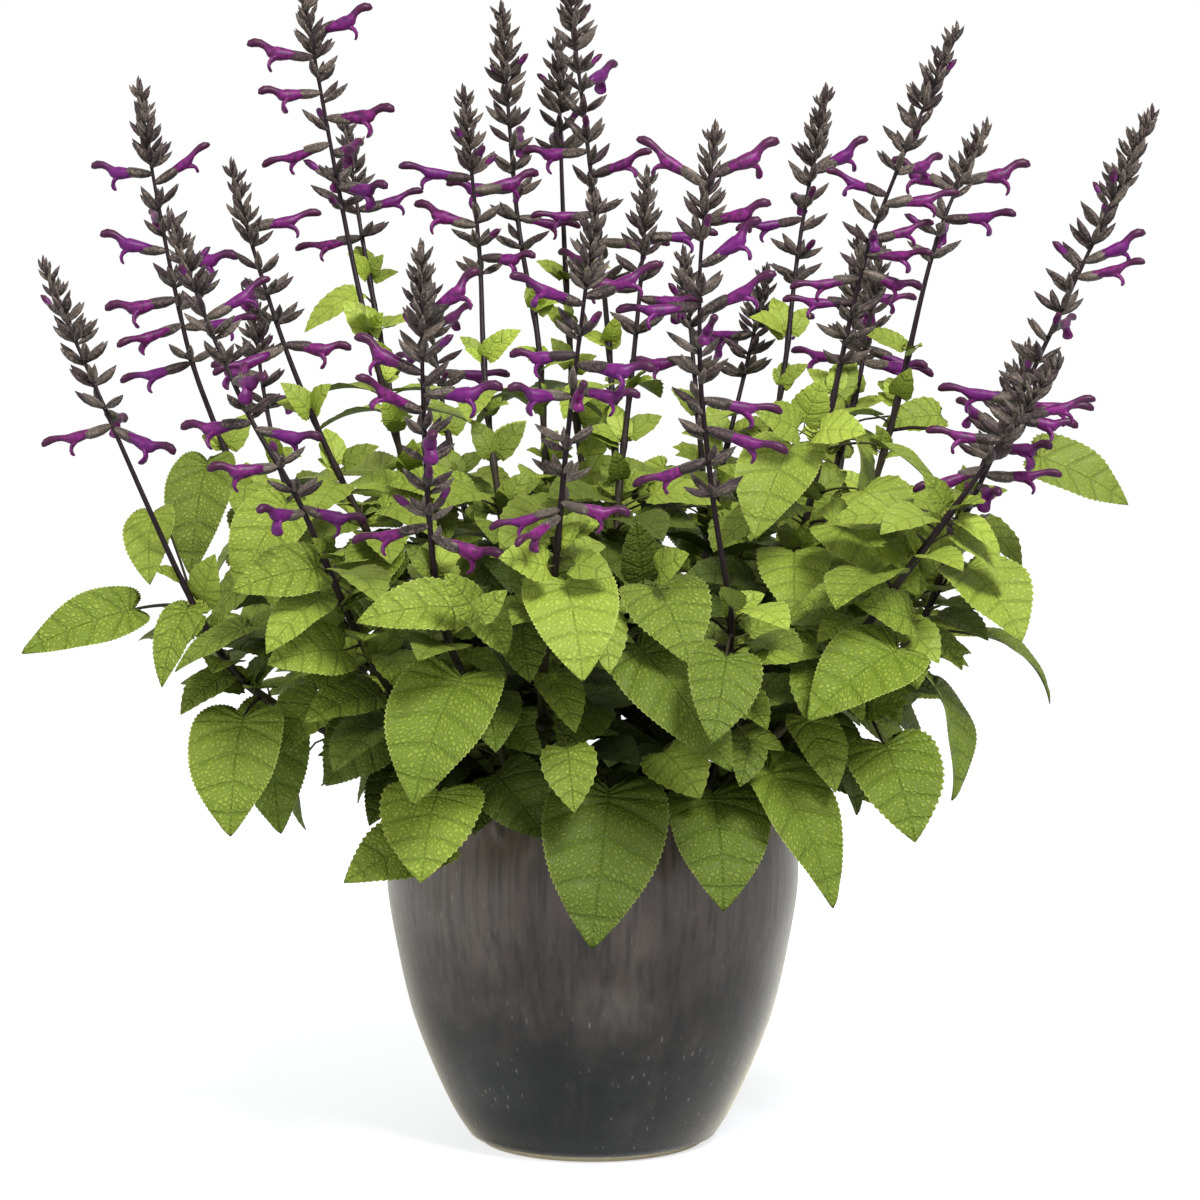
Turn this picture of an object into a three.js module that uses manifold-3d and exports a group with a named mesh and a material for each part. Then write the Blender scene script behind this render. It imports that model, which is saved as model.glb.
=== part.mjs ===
// A potted perennial salvia (anise-scented sage): 26 flowering stems with toothed heart leaves,
// whorls of dark calyces and open two-lipped flowers, rooted in the soil of a glazed pot.
// Millimetres, +Z up, origin at the centre of the pot's flat base, front of the plant towards -Y.
import * as THREE from 'three';
import { mergeVertices } from 'three/addons/utils/BufferGeometryUtils.js';
import Module from 'manifold-3d';

const wasm = await Module();
wasm.setup();

// ---------------------------------------------------------------- driving dimensions

const POT_SIDES = 24;
const FOOT_RADIUS = 66;            // unglazed foot that the pot stands on
const RIM_HEIGHT = 218;
const FLOOR = 14;                  // thickness of the pot's base
const POT_PROFILE = [              // outer wall, [radius, height]
  [69, 3], [75.5, 5], [86, 22], [99.5, 52], [110.5, 83], [119, 121], [124.5, 157], [124, 190], [120.5, 213],
];
const INNER_PROFILE = [[66, FLOOR], [77, 22], [101.5, 83], [115.5, 157], [111.5, 213]];
const LIP = [[118, RIM_HEIGHT], [113.5, RIM_HEIGHT]];
const DRAIN_HOLES = 3;
const DRAIN_RADIUS = 6;
const DRAIN_CIRCLE = 34;           // the drain holes lie on this radius
const DRAIN_SIDES = 8;
const SOIL_LEVEL = 196;            // level top of the soil
const SEAT_GAP = 0.35;             // clearance between solids that rest on each other

const STEM_FOOT = 172;             // height of the stems' lower ends, in holes in the soil
const STEM_BASE_RADIUS = 3.2;
const STEM_TOP_RADIUS = 2.0;       // where the leafy stem ends and the flower spike begins
const SPIKE_TIP_RADIUS = 0.9;
const STEM_STEPS = 5;              // straight stretches along a leafy stem
const SPIKE_STEPS = 4;             // and along a spike
const SQUARE_TURN = Math.PI / 4;   // the square stems' flats face left, right, front and back
const SPIKE_FOOT = 9;              // the spike begins this far above the top leaf pair

const CALYX_LENGTH = 17;
const CALYX_MIDDLE = 8.5;          // where a calyx is thickest
const CALYX_RADIUS = 3.2;
const CALYX_FLATS = [0, 180, 90, -90];
const CALYX_STRAY = 16;            // degrees either way of its flat
const CALYX_SPACING = 15;          // along the spike, for one calyx
const CALYX_CROWDING = 1.12;       // above 1, the whorls draw together towards the tip
const FEWEST_CALYCES = 6;
const TOP_CALYX = { size: 0.8, rise: 48, belowTip: 4 };
const LOW_CALYX_RISE = 22;
const FLOWER_LENGTH = 51;          // from the spike's axis to the tip of the upper lip
const FLOWER_THROAT = 32;          // where the lips part
const FLOWER_RADIUS = 3.1;
const FLOWER_CALYX = { middle: 12, radius: 3 };
const FLOWER_RISE = { top: 34, low: -16, stray: 18 };   // degrees above level, less towards the lowest whorl
const HOOD_RISE = 6;               // the upper lip bends up from the throat
const LIP_DROP = 58;               // and the lower lip bends down
const LOWER_LIP = 11;
const LIP_REACH = 2;               // radius of the lips in the clearance rule
const CLEAR_FROM = 0.4;            // of the way to a flower's calyx, where the clearance rule begins

const BLADE_THICKNESS = 1.8;       // along the midrib, thinning to the toothed edge
const BROAD_LEAF = 44;             // a wider blade has one more tooth a side
const PETIOLE_RADIUS = 1.1;
const TOOTH_DEPTH = 0.05;          // of the blade's width
const FOLD = 0.2;                  // rise of each half blade towards its edge
const RIB_SHARES = [0.16, 0.58];   // the midrib's points, along the blade
const PETIOLE_TOP = 0.8;           // of its radius, from the axis up to its flat top
const PETIOLE_KEEL = 1.1;          // and down to its lower edge

// Half of a heart-shaped blade: [share of the width, share of the length] from notch to tip.
const HEART = [
  [0.00, 0.00], [0.17, -0.085], [0.34, -0.06], [0.46, 0.07], [0.50, 0.24],
  [0.475, 0.42], [0.39, 0.60], [0.25, 0.77], [0.11, 0.91], [0.00, 1.00],
];
const HEART_SIDE = 3;              // from this point on, the outline runs towards the tip
const TOOTH_LEAN = 0.3;            // part of a tooth's depth that leans towards the tip
const TOOTH_OUT = 0.7;             // and part that stands outwards

// ---------------------------------------------------------------- the plant's layout

// Each flowering stem: the points it passes from the soil to its tip, the height of its top leaf pair,
// the height of its lowest whorl, and its open flowers as [distance below the tip, direction],
// with the direction in degrees from +X (180 is left, -90 the front).
const STEMS = [
  {
    path: [
      [-62, -12, 172], [-98, -28, 224], [-195, -60, 277],
      [-230, -70, 326], [-278, -60, 431], [-324, -40, 533],
    ],
    leafTop: 332, bloomFrom: 428,
    flowers: [[104, 180], [106, -15], [96, 80]],
  },
  {
    path: [
      [-45, -35, 172], [-80, -58, 225], [-133, -110, 316],
      [-167, -130, 402], [-202, -120, 458], [-245, -90, 563],
    ],
    leafTop: 352, bloomFrom: 384,
    flowers: [[66, 20], [106, -60], [132, 180], [136, 0], [160, 188], [186, 2], [190, -125]],
  },
  {
    path: [
      [-52, 22, 172], [-110, 40, 240], [-180, 55, 330], [-237, 60, 440], [-262, 70, 540], [-279, 80, 639],
    ],
    leafTop: 400, bloomFrom: 462,
    flowers: [
      [56, 178], [62, 5], [84, 100], [104, 182], [108, -8], [134, 186],
      [150, 205], [152, -5], [174, 175],
    ],
  },
  {
    path: [
      [-30, 30, 172], [-75, 40, 250], [-130, 48, 350], [-176, 50, 447], [-205, 58, 530], [-221, 60, 590],
    ],
    leafTop: 420, bloomFrom: 472,
    flowers: [[40, 12], [84, 120], [114, 0], [116, 195]],
  },
  {
    path: [
      [-28, 62, 172], [-70, 75, 270], [-110, 85, 380], [-137, 90, 479], [-154, 110, 552], [-182, 120, 707],
    ],
    leafTop: 470, bloomFrom: 556,
    flowers: [[38, 8], [52, 180], [74, 200], [90, -12], [106, 182], [112, 70], [134, -40]],
  },
  {
    path: [
      [-50, 62, 172], [-80, 88, 262], [-116, 126, 380], [-132, 150, 466], [-148, 180, 545], [-159, 200, 617],
    ],
    leafTop: 500, bloomFrom: 536,
    flowers: [[34, 110], [60, 8], [78, 178]],
  },
  {
    path: [
      [-28, -55, 172], [-52, -100, 250], [-78, -140, 310],
      [-89, -165, 359], [-94, -190, 462], [-94, -205, 548],
    ],
    leafTop: 346, bloomFrom: 372,
    flowers: [[40, 5], [72, 180], [84, -4], [94, 205], [112, -80], [160, 182], [166, -15]],
  },
  {
    path: [[-10, 42, 172], [-35, 52, 270], [-58, 60, 385], [-68, 90, 470], [-70, 110, 531], [-81, 120, 635]],
    leafTop: 455, bloomFrom: 516,
    flowers: [[54, 195], [62, 15], [84, 170], [104, -30]],
  },
  {
    path: [
      [-5, 78, 172], [-18, 110, 300], [-30, 135, 400], [-34, 150, 479], [-48, 180, 550], [-59, 210, 689],
    ],
    leafTop: 480, bloomFrom: 530,
    flowers: [[90, 80], [120, 180], [138, 8]],
  },
  {
    path: [[22, 88, 172], [8, 130, 300], [-10, 165, 420], [-18, 190, 528], [-23, 240, 669]],
    leafTop: 500, bloomFrom: 590,
    flowers: [[58, 95]],
  },
  {
    path: [[8, 50, 172], [14, 70, 280], [15, 80, 371], [12, 105, 450], [4, 140, 540], [-18, 170, 721]],
    leafTop: 460, bloomFrom: 506,
    flowers: [[84, 60], [126, 178], [142, -25], [166, 190], [184, 5], [200, 130]],
  },
  {
    path: [[18, 12, 172], [14, 40, 270], [14, 60, 366], [22, 80, 440], [30, 95, 520], [34, 100, 585]],
    leafTop: 436, bloomFrom: 480,
    flowers: [[40, 0], [72, 182], [78, -12]],
  },
  {
    path: [
      [-8, -48, 172], [-22, -85, 235], [-30, -115, 284], [-20, -178, 372], [-14, -198, 440], [3, -205, 576],
    ],
    leafTop: 368, bloomFrom: 396,
    flowers: [
      [56, 2], [60, 178], [88, 184], [94, -20], [108, 0], [112, 180],
      [118, -75], [172, -2], [176, 181], [180, -128],
    ],
  },
  {
    path: [
      [35, -50, 172], [60, -95, 250], [80, -150, 324], [66, -185, 417], [58, -190, 518], [69, -185, 613],
    ],
    leafTop: 326, bloomFrom: 402,
    flowers: [
      [26, 18], [32, 174], [52, 0], [76, -6], [98, 181], [102, -15],
      [120, -85], [150, 14], [166, -8], [184, 184],
    ],
  },
  {
    path: [[45, 60, 172], [75, 85, 280], [100, 110, 380], [119, 130, 445], [130, 160, 535], [149, 180, 636]],
    leafTop: 465, bloomFrom: 510,
    flowers: [[54, 0], [70, 100], [84, 190]],
  },
  {
    path: [[38, 84, 172], [62, 115, 290], [80, 140, 390], [95, 160, 450], [113, 200, 521]],
    leafTop: 400, bloomFrom: 450,
    flowers: [[40, 4], [46, 150]],
  },
  {
    path: [[55, -5, 172], [85, -8, 250], [119, -10, 343], [147, 0, 462], [168, 10, 552], [218, 0, 671]],
    leafTop: 437, bloomFrom: 464,
    flowers: [
      [90, 40], [104, 198], [110, 0], [128, -90], [132, 8], [142, -22],
      [152, 4], [156, 184], [172, 178],
    ],
  },
  {
    path: [[70, 30, 172], [112, 42, 256], [165, 52, 370], [190, 55, 460], [212, 65, 551], [245, 95, 614]],
    leafTop: 460, bloomFrom: 528,
    flowers: [[40, 0], [46, 175], [66, -30], [72, 85]],
  },
  {
    path: [[64, 16, 172], [98, 24, 260], [132, 52, 350], [163, 90, 445], [180, 120, 537]],
    leafTop: 430, bloomFrom: 470,
    flowers: [[40, 90], [64, 6], [74, -20]],
  },
  {
    path: [
      [68, -30, 172], [100, -42, 234], [184, -65, 305], [208, -70, 364], [245, -60, 443], [331, -30, 622],
    ],
    leafTop: 330, bloomFrom: 372,
    flowers: [
      [98, 2], [108, -18], [140, 70], [186, 166], [190, 8], [198, -4],
      [218, -42], [232, 186], [236, -8], [244, -100],
    ],
  },
  {
    path: [
      [56, -60, 172], [76, -76, 228], [118, -94, 270], [165, -105, 335], [220, -115, 412], [271, -100, 480],
    ],
    leafTop: 380, bloomFrom: 418,
    flowers: [[40, 0], [58, 180]],
  },
  {
    path: [
      [-24, 82, 172], [-32, 100, 228], [-58, 156, 292], [-85, 210, 370], [-102, 250, 450], [-112, 285, 520],
    ],
    leafTop: 400, bloomFrom: 435,
    flowers: [[44, 60], [62, 130], [76, 10]],
  },
  {
    path: [[56, 70, 172], [62, 84, 228], [74, 148, 296], [72, 215, 380], [66, 260, 460], [60, 295, 530]],
    leafTop: 410, bloomFrom: 445,
    flowers: [[42, 110], [60, 40], [78, 180]],
  },
  {
    path: [[76, 48, 172], [86, 60, 228], [126, 116, 286], [155, 180, 370], [168, 225, 450], [175, 260, 540]],
    leafTop: 410, bloomFrom: 450,
    flowers: [[40, 20], [62, 80], [84, 150]],
  },
  {
    path: [
      [-78, 40, 172], [-92, 52, 228], [-140, 98, 276], [-185, 150, 350], [-210, 190, 430], [-222, 215, 510],
    ],
    leafTop: 385, bloomFrom: 425,
    flowers: [[38, 90], [60, 150], [74, 60]],
  },
  {
    path: [[92, 0, 172], [106, 8, 228], [156, 42, 270], [205, 75, 330], [245, 108, 405], [276, 135, 476]],
    leafTop: 360, bloomFrom: 402,
    flowers: [[36, 60], [58, 120]],
  },
];

// Leaves that have a place of their own: stem number, where the blade begins, its tip, its width,
// its bend from base to tip in degrees, and the direction that its upper face looks in
// (0 is the front, 90 the right, -90 the left).
const PLACED_LEAVES = [
  [13, [10, -132, 235], [0, -176, 150], 72, 45, 0],
  [14, [70, -130, 230], [75, -170, 168], 60, 50, 10],
  [20, [92, -108, 238], [130, -136, 160], 55, 40, 40],
  [2, [-88, -136, 234], [-97, -176, 188], 60, 45, -10],
  [2, [-88, -122, 205], [-142, -146, 184], 46, 40, -20],
  [7, [-74, -160, 304], [-100, -200, 236], 64, 50, -15],
  [13, [-14, -160, 262], [-10, -186, 230], 32, 30, 0],
  [13, [-15, -180, 360], [-5, -222, 308], 54, 50, 5],
  [13, [5, -165, 340], [10, -190, 309], 26, 30, 10],
  [14, [36, -150, 354], [55, -190, 314], 50, 45, 10],
  [14, [26, -160, 322], [78, -205, 256], 52, 45, 0],
  [14, [75, -176, 320], [66, -212, 276], 42, 45, 10],
  [17, [118, -40, 426], [95, -80, 374], 50, 45, -15],
  [20, [176, -124, 316], [122, -166, 280], 52, 40, -15],
  [17, [145, -70, 380], [190, -112, 342], 50, 40, 20],
  [20, [218, -84, 358], [248, -114, 318], 54, 45, 30],
  [20, [230, -60, 315], [270, -62, 275], 34, 70, 80],
  [20, [200, -70, 288], [210, -92, 222], 54, 50, 75],
  [20, [170, -92, 256], [186, -126, 204], 56, 45, 10],
  [20, [130, -95, 270], [155, -112, 212], 40, 50, 50],
  [18, [268, 10, 416], [324, 14, 386], 38, 35, 20],
  [1, [-270, -60, 331], [-335, -72, 306], 38, 30, -20],
  [1, [-260, -40, 386], [-260, -66, 346], 32, 40, -20],
  [3, [-233, 20, 412], [-240, -20, 346], 42, 45, -10],
  [3, [-182, -20, 390], [-210, -52, 338], 44, 45, -10],
  [2, [-157, -125, 362], [-206, -140, 350], 36, 40, -10],
  [1, [-236, -80, 334], [-250, -102, 290], 26, 50, -20],
  [1, [-228, -82, 338], [-220, -96, 366], 24, 20, -10],
  [1, [-204, -80, 270], [-210, -112, 204], 58, 45, -15],
  [1, [-188, -50, 272], [-184, -66, 198], 50, 40, -20],
  [2, [-144, -120, 314], [-186, -140, 308], 40, 45, -15],
  [2, [-160, -85, 280], [-190, -100, 240], 46, 50, -20],
  [2, [-172, -60, 240], [-170, -72, 186], 42, 45, -80],
  [2, [-120, -90, 264], [-156, -102, 230], 50, 45, -20],
  [2, [-112, -118, 246], [-130, -132, 208], 40, 45, -30],
  [1, [-200, -95, 326], [-240, -110, 302], 26, 25, -50],
  [7, [-76, -176, 345], [-132, -190, 338], 34, 50, -15],
  [7, [-66, -186, 346], [-82, -200, 368], 20, 20, -10],
  [7, [-62, -188, 344], [-38, -198, 368], 24, 20, 10],
  [7, [-62, -190, 340], [-48, -206, 318], 24, 30, 10],
  [13, [-40, -150, 330], [-35, -172, 300], 30, 40, -10],
  [13, [0, -118, 282], [-18, -145, 258], 34, 40, 0],
  [7, [-60, -140, 275], [-28, -164, 257], 28, 40, 10],
  [14, [90, -132, 264], [84, -150, 240], 22, 40, 20],
  [13, [-26, -150, 395], [-52, -172, 378], 36, 40, -10],
  [13, [-26, -176, 370], [-52, -190, 376], 26, 30, -10],
  [13, [-16, -180, 370], [16, -196, 362], 32, 35, 10],
  [12, [30, -60, 350], [25, -75, 386], 26, 20, 0],
  [14, [38, -150, 354], [64, -172, 372], 34, 25, 10],
  [20, [176, -115, 332], [145, -138, 342], 30, 30, -10],
  [20, [180, -115, 326], [200, -132, 306], 28, 35, 20],
  [20, [162, -92, 276], [184, -105, 282], 20, 30, 10],
  [17, [120, -48, 437], [95, -62, 448], 26, 30, -10],
  [17, [126, -48, 440], [136, -55, 466], 24, 20, 10],
  [17, [134, -46, 436], [160, -62, 436], 26, 30, 20],
  [17, [172, -10, 424], [206, -30, 394], 34, 40, 70],
  [19, [214, 60, 436], [178, 50, 430], 26, 35, -20],
  [17, [160, -30, 400], [186, -55, 378], 40, 40, 20],
  [20, [206, -86, 378], [182, -96, 374], 30, 35, -10],
  [17, [160, -20, 425], [156, -36, 388], 30, 50, 80],
  [6, [-150, 152, 508], [-182, 138, 484], 20, 40, -20],
  [13, [-55, -128, 240], [-26, -152, 206], 44, 45, 0],
  [14, [42, -110, 256], [62, -128, 232], 40, 40, 10],
];

// Leaf pairs that the rule below grows along each stem.
const PAIR_FROM = 236;             // height of the lowest pair
const PAIR_STEP = 96;              // between pairs, each turned a quarter from the last
const PAIR_LENGTH_LOW = 74;        // blade length at the lowest pair
const PAIR_LENGTH_HIGH = 44;       // and at the height PAIR_HIGH
const PAIR_WIDTH_SHARE = 0.74;     // of the length
const PAIR_HIGH = 440;
const PAIR_START_SPREAD = 20;      // the lowest pair lies up to this far above PAIR_FROM
const PAIR_MARGIN = 2;             // and the highest up to this far above the top leaf pair's height
const PAIR_TURN_SPREAD = 20;       // degrees either way
const PAIR_SIZE_SPREAD = 0.1;      // of the length, either way
const PAIR_DROOP = [-8, -38];      // degrees above level, from the least to the most
const PAIR_BEND = 45;
const PAIR_LOOK_UP = 1.6;          // the upper faces look up by this for each step outwards
const PLACED_LOOK_UP = 0.62;
const STALK_RISE = 30;             // degrees above level
const STALK_LENGTH_LOW = 30;
const STALK_LENGTH_HIGH = 12;
const TURN_TRIES = [0, 24, -24, 48, -48, 72, -72];
const SIZE_TRIES = [1, 0.8, 0.64];
const SHIFT_TRIES = [              // where a placed leaf may move to if it has no room
  [0, 0, 0], [0, -7, 0], [0, 7, 0], [0, -14, 0], [0, 14, 0], [0, -6, 7], [0, 6, -7], [7, -4, 0], [-7, -4, 0],
  [0, -21, 0], [0, 21, 0], [0, -12, 10], [8, -10, 8], [-8, -10, 8], [0, 28, 0],
];
const LOWEST_PETIOLE = 206;
const PETIOLE_STEPS = 40;          // places along a stem that a petiole may grow from
const PETIOLE_LIFT = 10;           // it prefers one this far below the blade's base
const POT_CLEARANCE = 5;
const SAMPLE_STEP = 4.5;           // spacing of the points that stand for a blade in the clearance rule
const ROD_STEP = 3;                // and for a stem, stalk or flower
const LOBE_SHARE = 0.06;           // of its length that a blade reaches back past its base
const BLADE_REACH = 3.8;           // each such point keeps this distance to itself
const ROD_REACH = 1.6;             // and a stem or flower keeps this beyond its radius
const SEED = 20261;

// ---------------------------------------------------------------- vectors and curves

const add = (a, b, k = 1) => [a[0] + k * b[0], a[1] + k * b[1], a[2] + k * b[2]];
const sub = (a, b) => add(a, b, -1);
const scale = (a, k) => [a[0] * k, a[1] * k, a[2] * k];
const dot = (a, b) => a[0] * b[0] + a[1] * b[1] + a[2] * b[2];
const cross = (a, b) => [a[1] * b[2] - a[2] * b[1], a[2] * b[0] - a[0] * b[2], a[0] * b[1] - a[1] * b[0]];
const length = (a) => Math.sqrt(dot(a, a));
const unit = (a) => scale(a, 1 / length(a));
const mix = (a, b, t) => a + (b - a) * t;
const radians = (degrees) => degrees * Math.PI / 180;

let state = SEED;
function random() {
  state = (state * 16807) % 2147483647;
  return state / 2147483647;
}

// A smooth curve through the points, at t from 0 to 1.
function along(points, t) {
  const last = points.length - 1;
  const span = Math.min(Math.floor(t * last), last - 1);
  const w = t * last - span;
  const p1 = points[span];
  const p2 = points[span + 1];
  const p0 = span > 0 ? points[span - 1] : p1.map((c, i) => 2 * c - p2[i]);
  const p3 = span + 2 <= last ? points[span + 2] : p2.map((c, i) => 2 * c - p1[i]);
  return p1.map((c, i) => {
    const m1 = (p2[i] - p0[i]) / 2;
    const m2 = (p3[i] - c) / 2;
    const d = p2[i] - c;
    return c + m1 * w + (3 * d - 2 * m1 - m2) * w * w + (m1 + m2 - 2 * d) * w * w * w;
  });
}

// The share of the way along a rising path at which it reaches a height.
function atHeight(path, z) {
  let low = 0;
  let high = 1;
  for (let i = 0; i < 30; i += 1) {
    const middle = (low + high) / 2;
    if (along(path, middle)[2] < z) low = middle;
    else high = middle;
  }
  return (low + high) / 2;
}

// ---------------------------------------------------------------- solids

const MERGE_WITHIN = 1e-4;         // points this close are one
const NEARLY_ALONG_Y = 0.8;        // a tube whose direction has more Y than this is squared up by X instead

// One closed mesh from points and triangles, as a manifold-3d solid.
function solid(points, triangles) {
  const vertProperties = new Float32Array(points.flat());
  const triVerts = new Uint32Array(triangles.flat());
  return new wasm.Manifold(new wasm.Mesh({ numProp: 3, vertProperties, triVerts }));
}

// The same from a three.js geometry, with its seams merged and its flat triangles at the axis left out.
function solidOf(geometry) {
  geometry.deleteAttribute('normal');
  geometry.deleteAttribute('uv');
  const merged = mergeVertices(geometry, MERGE_WITHIN);
  const index = merged.getIndex().array;
  const kept = [];
  for (let i = 0; i < index.length; i += 3) {
    const [a, b, c] = [index[i], index[i + 1], index[i + 2]];
    if (a !== b && b !== c && c !== a) kept.push(a, b, c);
  }
  const vertProperties = new Float32Array(merged.getAttribute('position').array);
  return new wasm.Manifold(new wasm.Mesh({ numProp: 3, vertProperties, triVerts: new Uint32Array(kept) }));
}

// A tube with flat sides through the points; a radius of 0 at an end makes it a point.
function tube(points, radii, sides, turn = 0) {
  const chord = unit(sub(points[points.length - 1], points[0]));
  const level = Math.abs(chord[1]) < NEARLY_ALONG_Y ? [0, 1, 0] : [1, 0, 0];
  const vertices = [];
  const rings = points.map((point, i) => {
    if (radii[i] === 0) {
      vertices.push(point);
      return [vertices.length - 1];
    }
    const before = points[Math.max(i - 1, 0)];
    const after = points[Math.min(i + 1, points.length - 1)];
    const tangent = unit(sub(after, before));
    const u = unit(cross(level, tangent));
    const v = cross(tangent, u);
    return Array.from({ length: sides }, (_, k) => {
      const angle = turn + 2 * Math.PI * k / sides;
      const offset = add(scale(u, Math.cos(angle) * radii[i]), v, Math.sin(angle) * radii[i]);
      vertices.push(add(point, offset));
      return vertices.length - 1;
    });
  });
  const triangles = [];
  for (let i = 0; i + 1 < rings.length; i += 1) {
    const [a, b] = [rings[i], rings[i + 1]];
    for (let k = 0; k < sides; k += 1) {
      const n = (k + 1) % sides;
      if (a.length > 1) triangles.push([a[k], a[n], b.length > 1 ? b[n] : b[0]]);
      if (b.length > 1) triangles.push([a.length > 1 ? a[k] : a[0], b[n], b[k]]);
    }
  }
  const [first, final] = [rings[0], rings[rings.length - 1]];
  for (let k = 1; k + 1 < sides; k += 1) {
    if (first.length > 1) triangles.push([first[0], first[k + 1], first[k]]);
    if (final.length > 1) triangles.push([final[0], final[k], final[k + 1]]);
  }
  return solid(vertices, triangles);
}

// ---------------------------------------------------------------- leaves

// A blade's frame from its base, tip, bend and the direction its upper face looks in.
function bladeFrame(base, tip, bendDegrees, look) {
  const bend = radians(bendDegrees);
  const chord = sub(tip, base);
  const c = unit(chord);
  const side = unit(cross(c, look));
  const n = cross(side, c);
  const reach = length(chord) * (bend / 2) / Math.sin(bend / 2);
  return {
    base, side, bend, reach,
    ahead: add(scale(c, Math.cos(bend / 2)), n, Math.sin(bend / 2)),
    up: add(scale(n, Math.cos(bend / 2)), c, -Math.sin(bend / 2)),
  };
}

// A point of the blade: x across and y along, in mm, lifted off the blade by h.
function onBlade(frame, x, y, h = 0) {
  const angle = frame.bend * y / frame.reach;
  const radius = frame.reach / frame.bend;
  const forward = add(frame.base, frame.ahead, radius * Math.sin(angle));
  const centre = add(forward, frame.up, -radius * (1 - Math.cos(angle)));
  const normal = add(scale(frame.up, Math.cos(angle)), frame.ahead, Math.sin(angle));
  return add(add(centre, frame.side, x), normal, h + FOLD * Math.abs(x));
}

// One half of the toothed outline, from the lobe to the last tooth before the tip.
function toothedHalf(width, reach, teeth) {
  const count = 2 * teeth - 1;
  return Array.from({ length: count }, (_, i) => {
    const [w, l] = along(HEART.map(([a, b]) => [a, b, 0]), (i + 1.1) / (count + 0.6));
    const push = (i % 2 === 0 ? TOOTH_DEPTH : -TOOTH_DEPTH) * (1 - (i / count) ** 2);
    return [(w + push * TOOTH_OUT) * width, l * reach + push * TOOTH_LEAN * width];
  });
}

// A leaf as one closed solid: a petiole from the stem that runs into a thin folded, toothed blade.
function leafSolid(leaf) {
  const { frame, width, petiole, teeth } = leaf;
  const vertices = [];
  const triangles = [];
  const put = (point) => vertices.push(point) - 1;

  const rings = petiole.map((point, i) => {
    const last = i === petiole.length - 1;
    const tangent = last ? frame.ahead : unit(sub(petiole[i + 1], petiole[Math.max(i - 1, 0)]));
    const s = unit(add(frame.side, tangent, -dot(frame.side, tangent)));
    const n = cross(s, tangent);
    const r = PETIOLE_RADIUS;
    const top = add(point, n, r * PETIOLE_TOP);
    return [put(add(top, s, -r)), put(add(top, s, r)), put(add(point, n, -r * PETIOLE_KEEL))];
  });
  triangles.push([rings[0][1], rings[0][0], rings[0][2]]);
  for (let i = 0; i + 1 < rings.length; i += 1) {
    const [a, b] = [rings[i], rings[i + 1]];
    for (const [p, q] of [[0, 1], [2, 0], [1, 2]]) {
      triangles.push([a[p], a[q], b[q]], [a[p], b[q], b[p]]);
    }
  }

  const [tl, tr, bm] = rings[rings.length - 1];
  const half = toothedHalf(width, frame.reach, teeth);
  const left = half.map(([x, y]) => put(onBlade(frame, -x, y)));
  const right = half.map(([x, y]) => put(onBlade(frame, x, y)));
  const tip = put(onBlade(frame, 0, frame.reach));
  const ribAt = RIB_SHARES.map((share) => share * frame.reach);
  const top = ribAt.map((y) => put(onBlade(frame, 0, y, BLADE_THICKNESS / 2)));
  const bottom = ribAt.map((y) => put(onBlade(frame, 0, y, -BLADE_THICKNESS / 2)));

  // Each half is a zip of triangles between the outline and the midrib, alike on both faces.
  const zip = (edge, rib, flip) => {
    const tri = (a, b, c) => triangles.push(flip ? [a, c, b] : [a, b, c]);
    const outline = [...edge, tip];
    const outlineY = [...half.map(([, y]) => y), frame.reach];
    let j = 0;
    for (let i = 0; i + 1 < outline.length; i += 1) {
      while (j + 1 < rib.length && outlineY[i] > (ribAt[j] + ribAt[j + 1]) / 2) {
        tri(rib[j], outline[i], rib[j + 1]);
        j += 1;
      }
      tri(rib[j], outline[i], outline[i + 1]);
    }
  };
  zip(right, top, false);
  zip(left, top, true);
  zip(right, bottom, true);
  zip(left, bottom, false);
  triangles.push([tl, tr, top[0]], [tr, right[0], top[0]], [tl, top[0], left[0]]);
  triangles.push([bm, bottom[0], right[0]], [bm, left[0], bottom[0]]);
  triangles.push([tr, bm, right[0]], [tl, left[0], bm]);
  return solid(vertices, triangles);
}

// ---------------------------------------------------------------- the clearance rule

// What has grown so far, as points with a radius, in boxes for a quick search.
const grown = [];

// A thing may lie close to the kinds of its own stem that are named in besides.
function crowded(points, owner, besides) {
  const box = bounds(points);
  return grown.some((thing) => {
    if (thing.owner === owner && besides.includes(thing.kind)) return false;
    return overlaps(box, thing.box) && points.some((p) => thing.points.some((q) => near(p, q)));
  });
}

function near(p, q) {
  const reach = p[3] + q[3];
  const [dx, dy, dz] = [p[0] - q[0], p[1] - q[1], p[2] - q[2]];
  return dx * dx + dy * dy + dz * dz < reach * reach;
}

function bounds(points) {
  const low = [0, 1, 2].map((i) => Math.min(...points.map((p) => p[i] - p[3])));
  const high = [0, 1, 2].map((i) => Math.max(...points.map((p) => p[i] + p[3])));
  return { low, high };
}

const overlaps = (a, b) => [0, 1, 2].every((i) => a.low[i] < b.high[i] && b.low[i] < a.high[i]);

function keep(points, owner, kind) {
  grown.push({ points, owner, kind, box: bounds(points) });
}

// Points along a straight rod from a to b.
function rod(a, b, radius) {
  const count = Math.ceil(length(sub(b, a)) / ROD_STEP);
  return Array.from({ length: count + 1 }, (_, i) => [...add(a, sub(b, a), i / count), radius + ROD_REACH]);
}

// Half the width of a smooth blade at a share y of its length.
function halfWidth(y) {
  let i = HEART_SIDE;
  while (i + 2 < HEART.length && HEART[i + 1][1] < y) i += 1;
  if (y < HEART[HEART_SIDE][1]) return HEART[HEART_SIDE][0];
  const [[w0, y0], [w1, y1]] = [HEART[i], HEART[i + 1]];
  return mix(w0, w1, (y - y0) / (y1 - y0));
}

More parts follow.
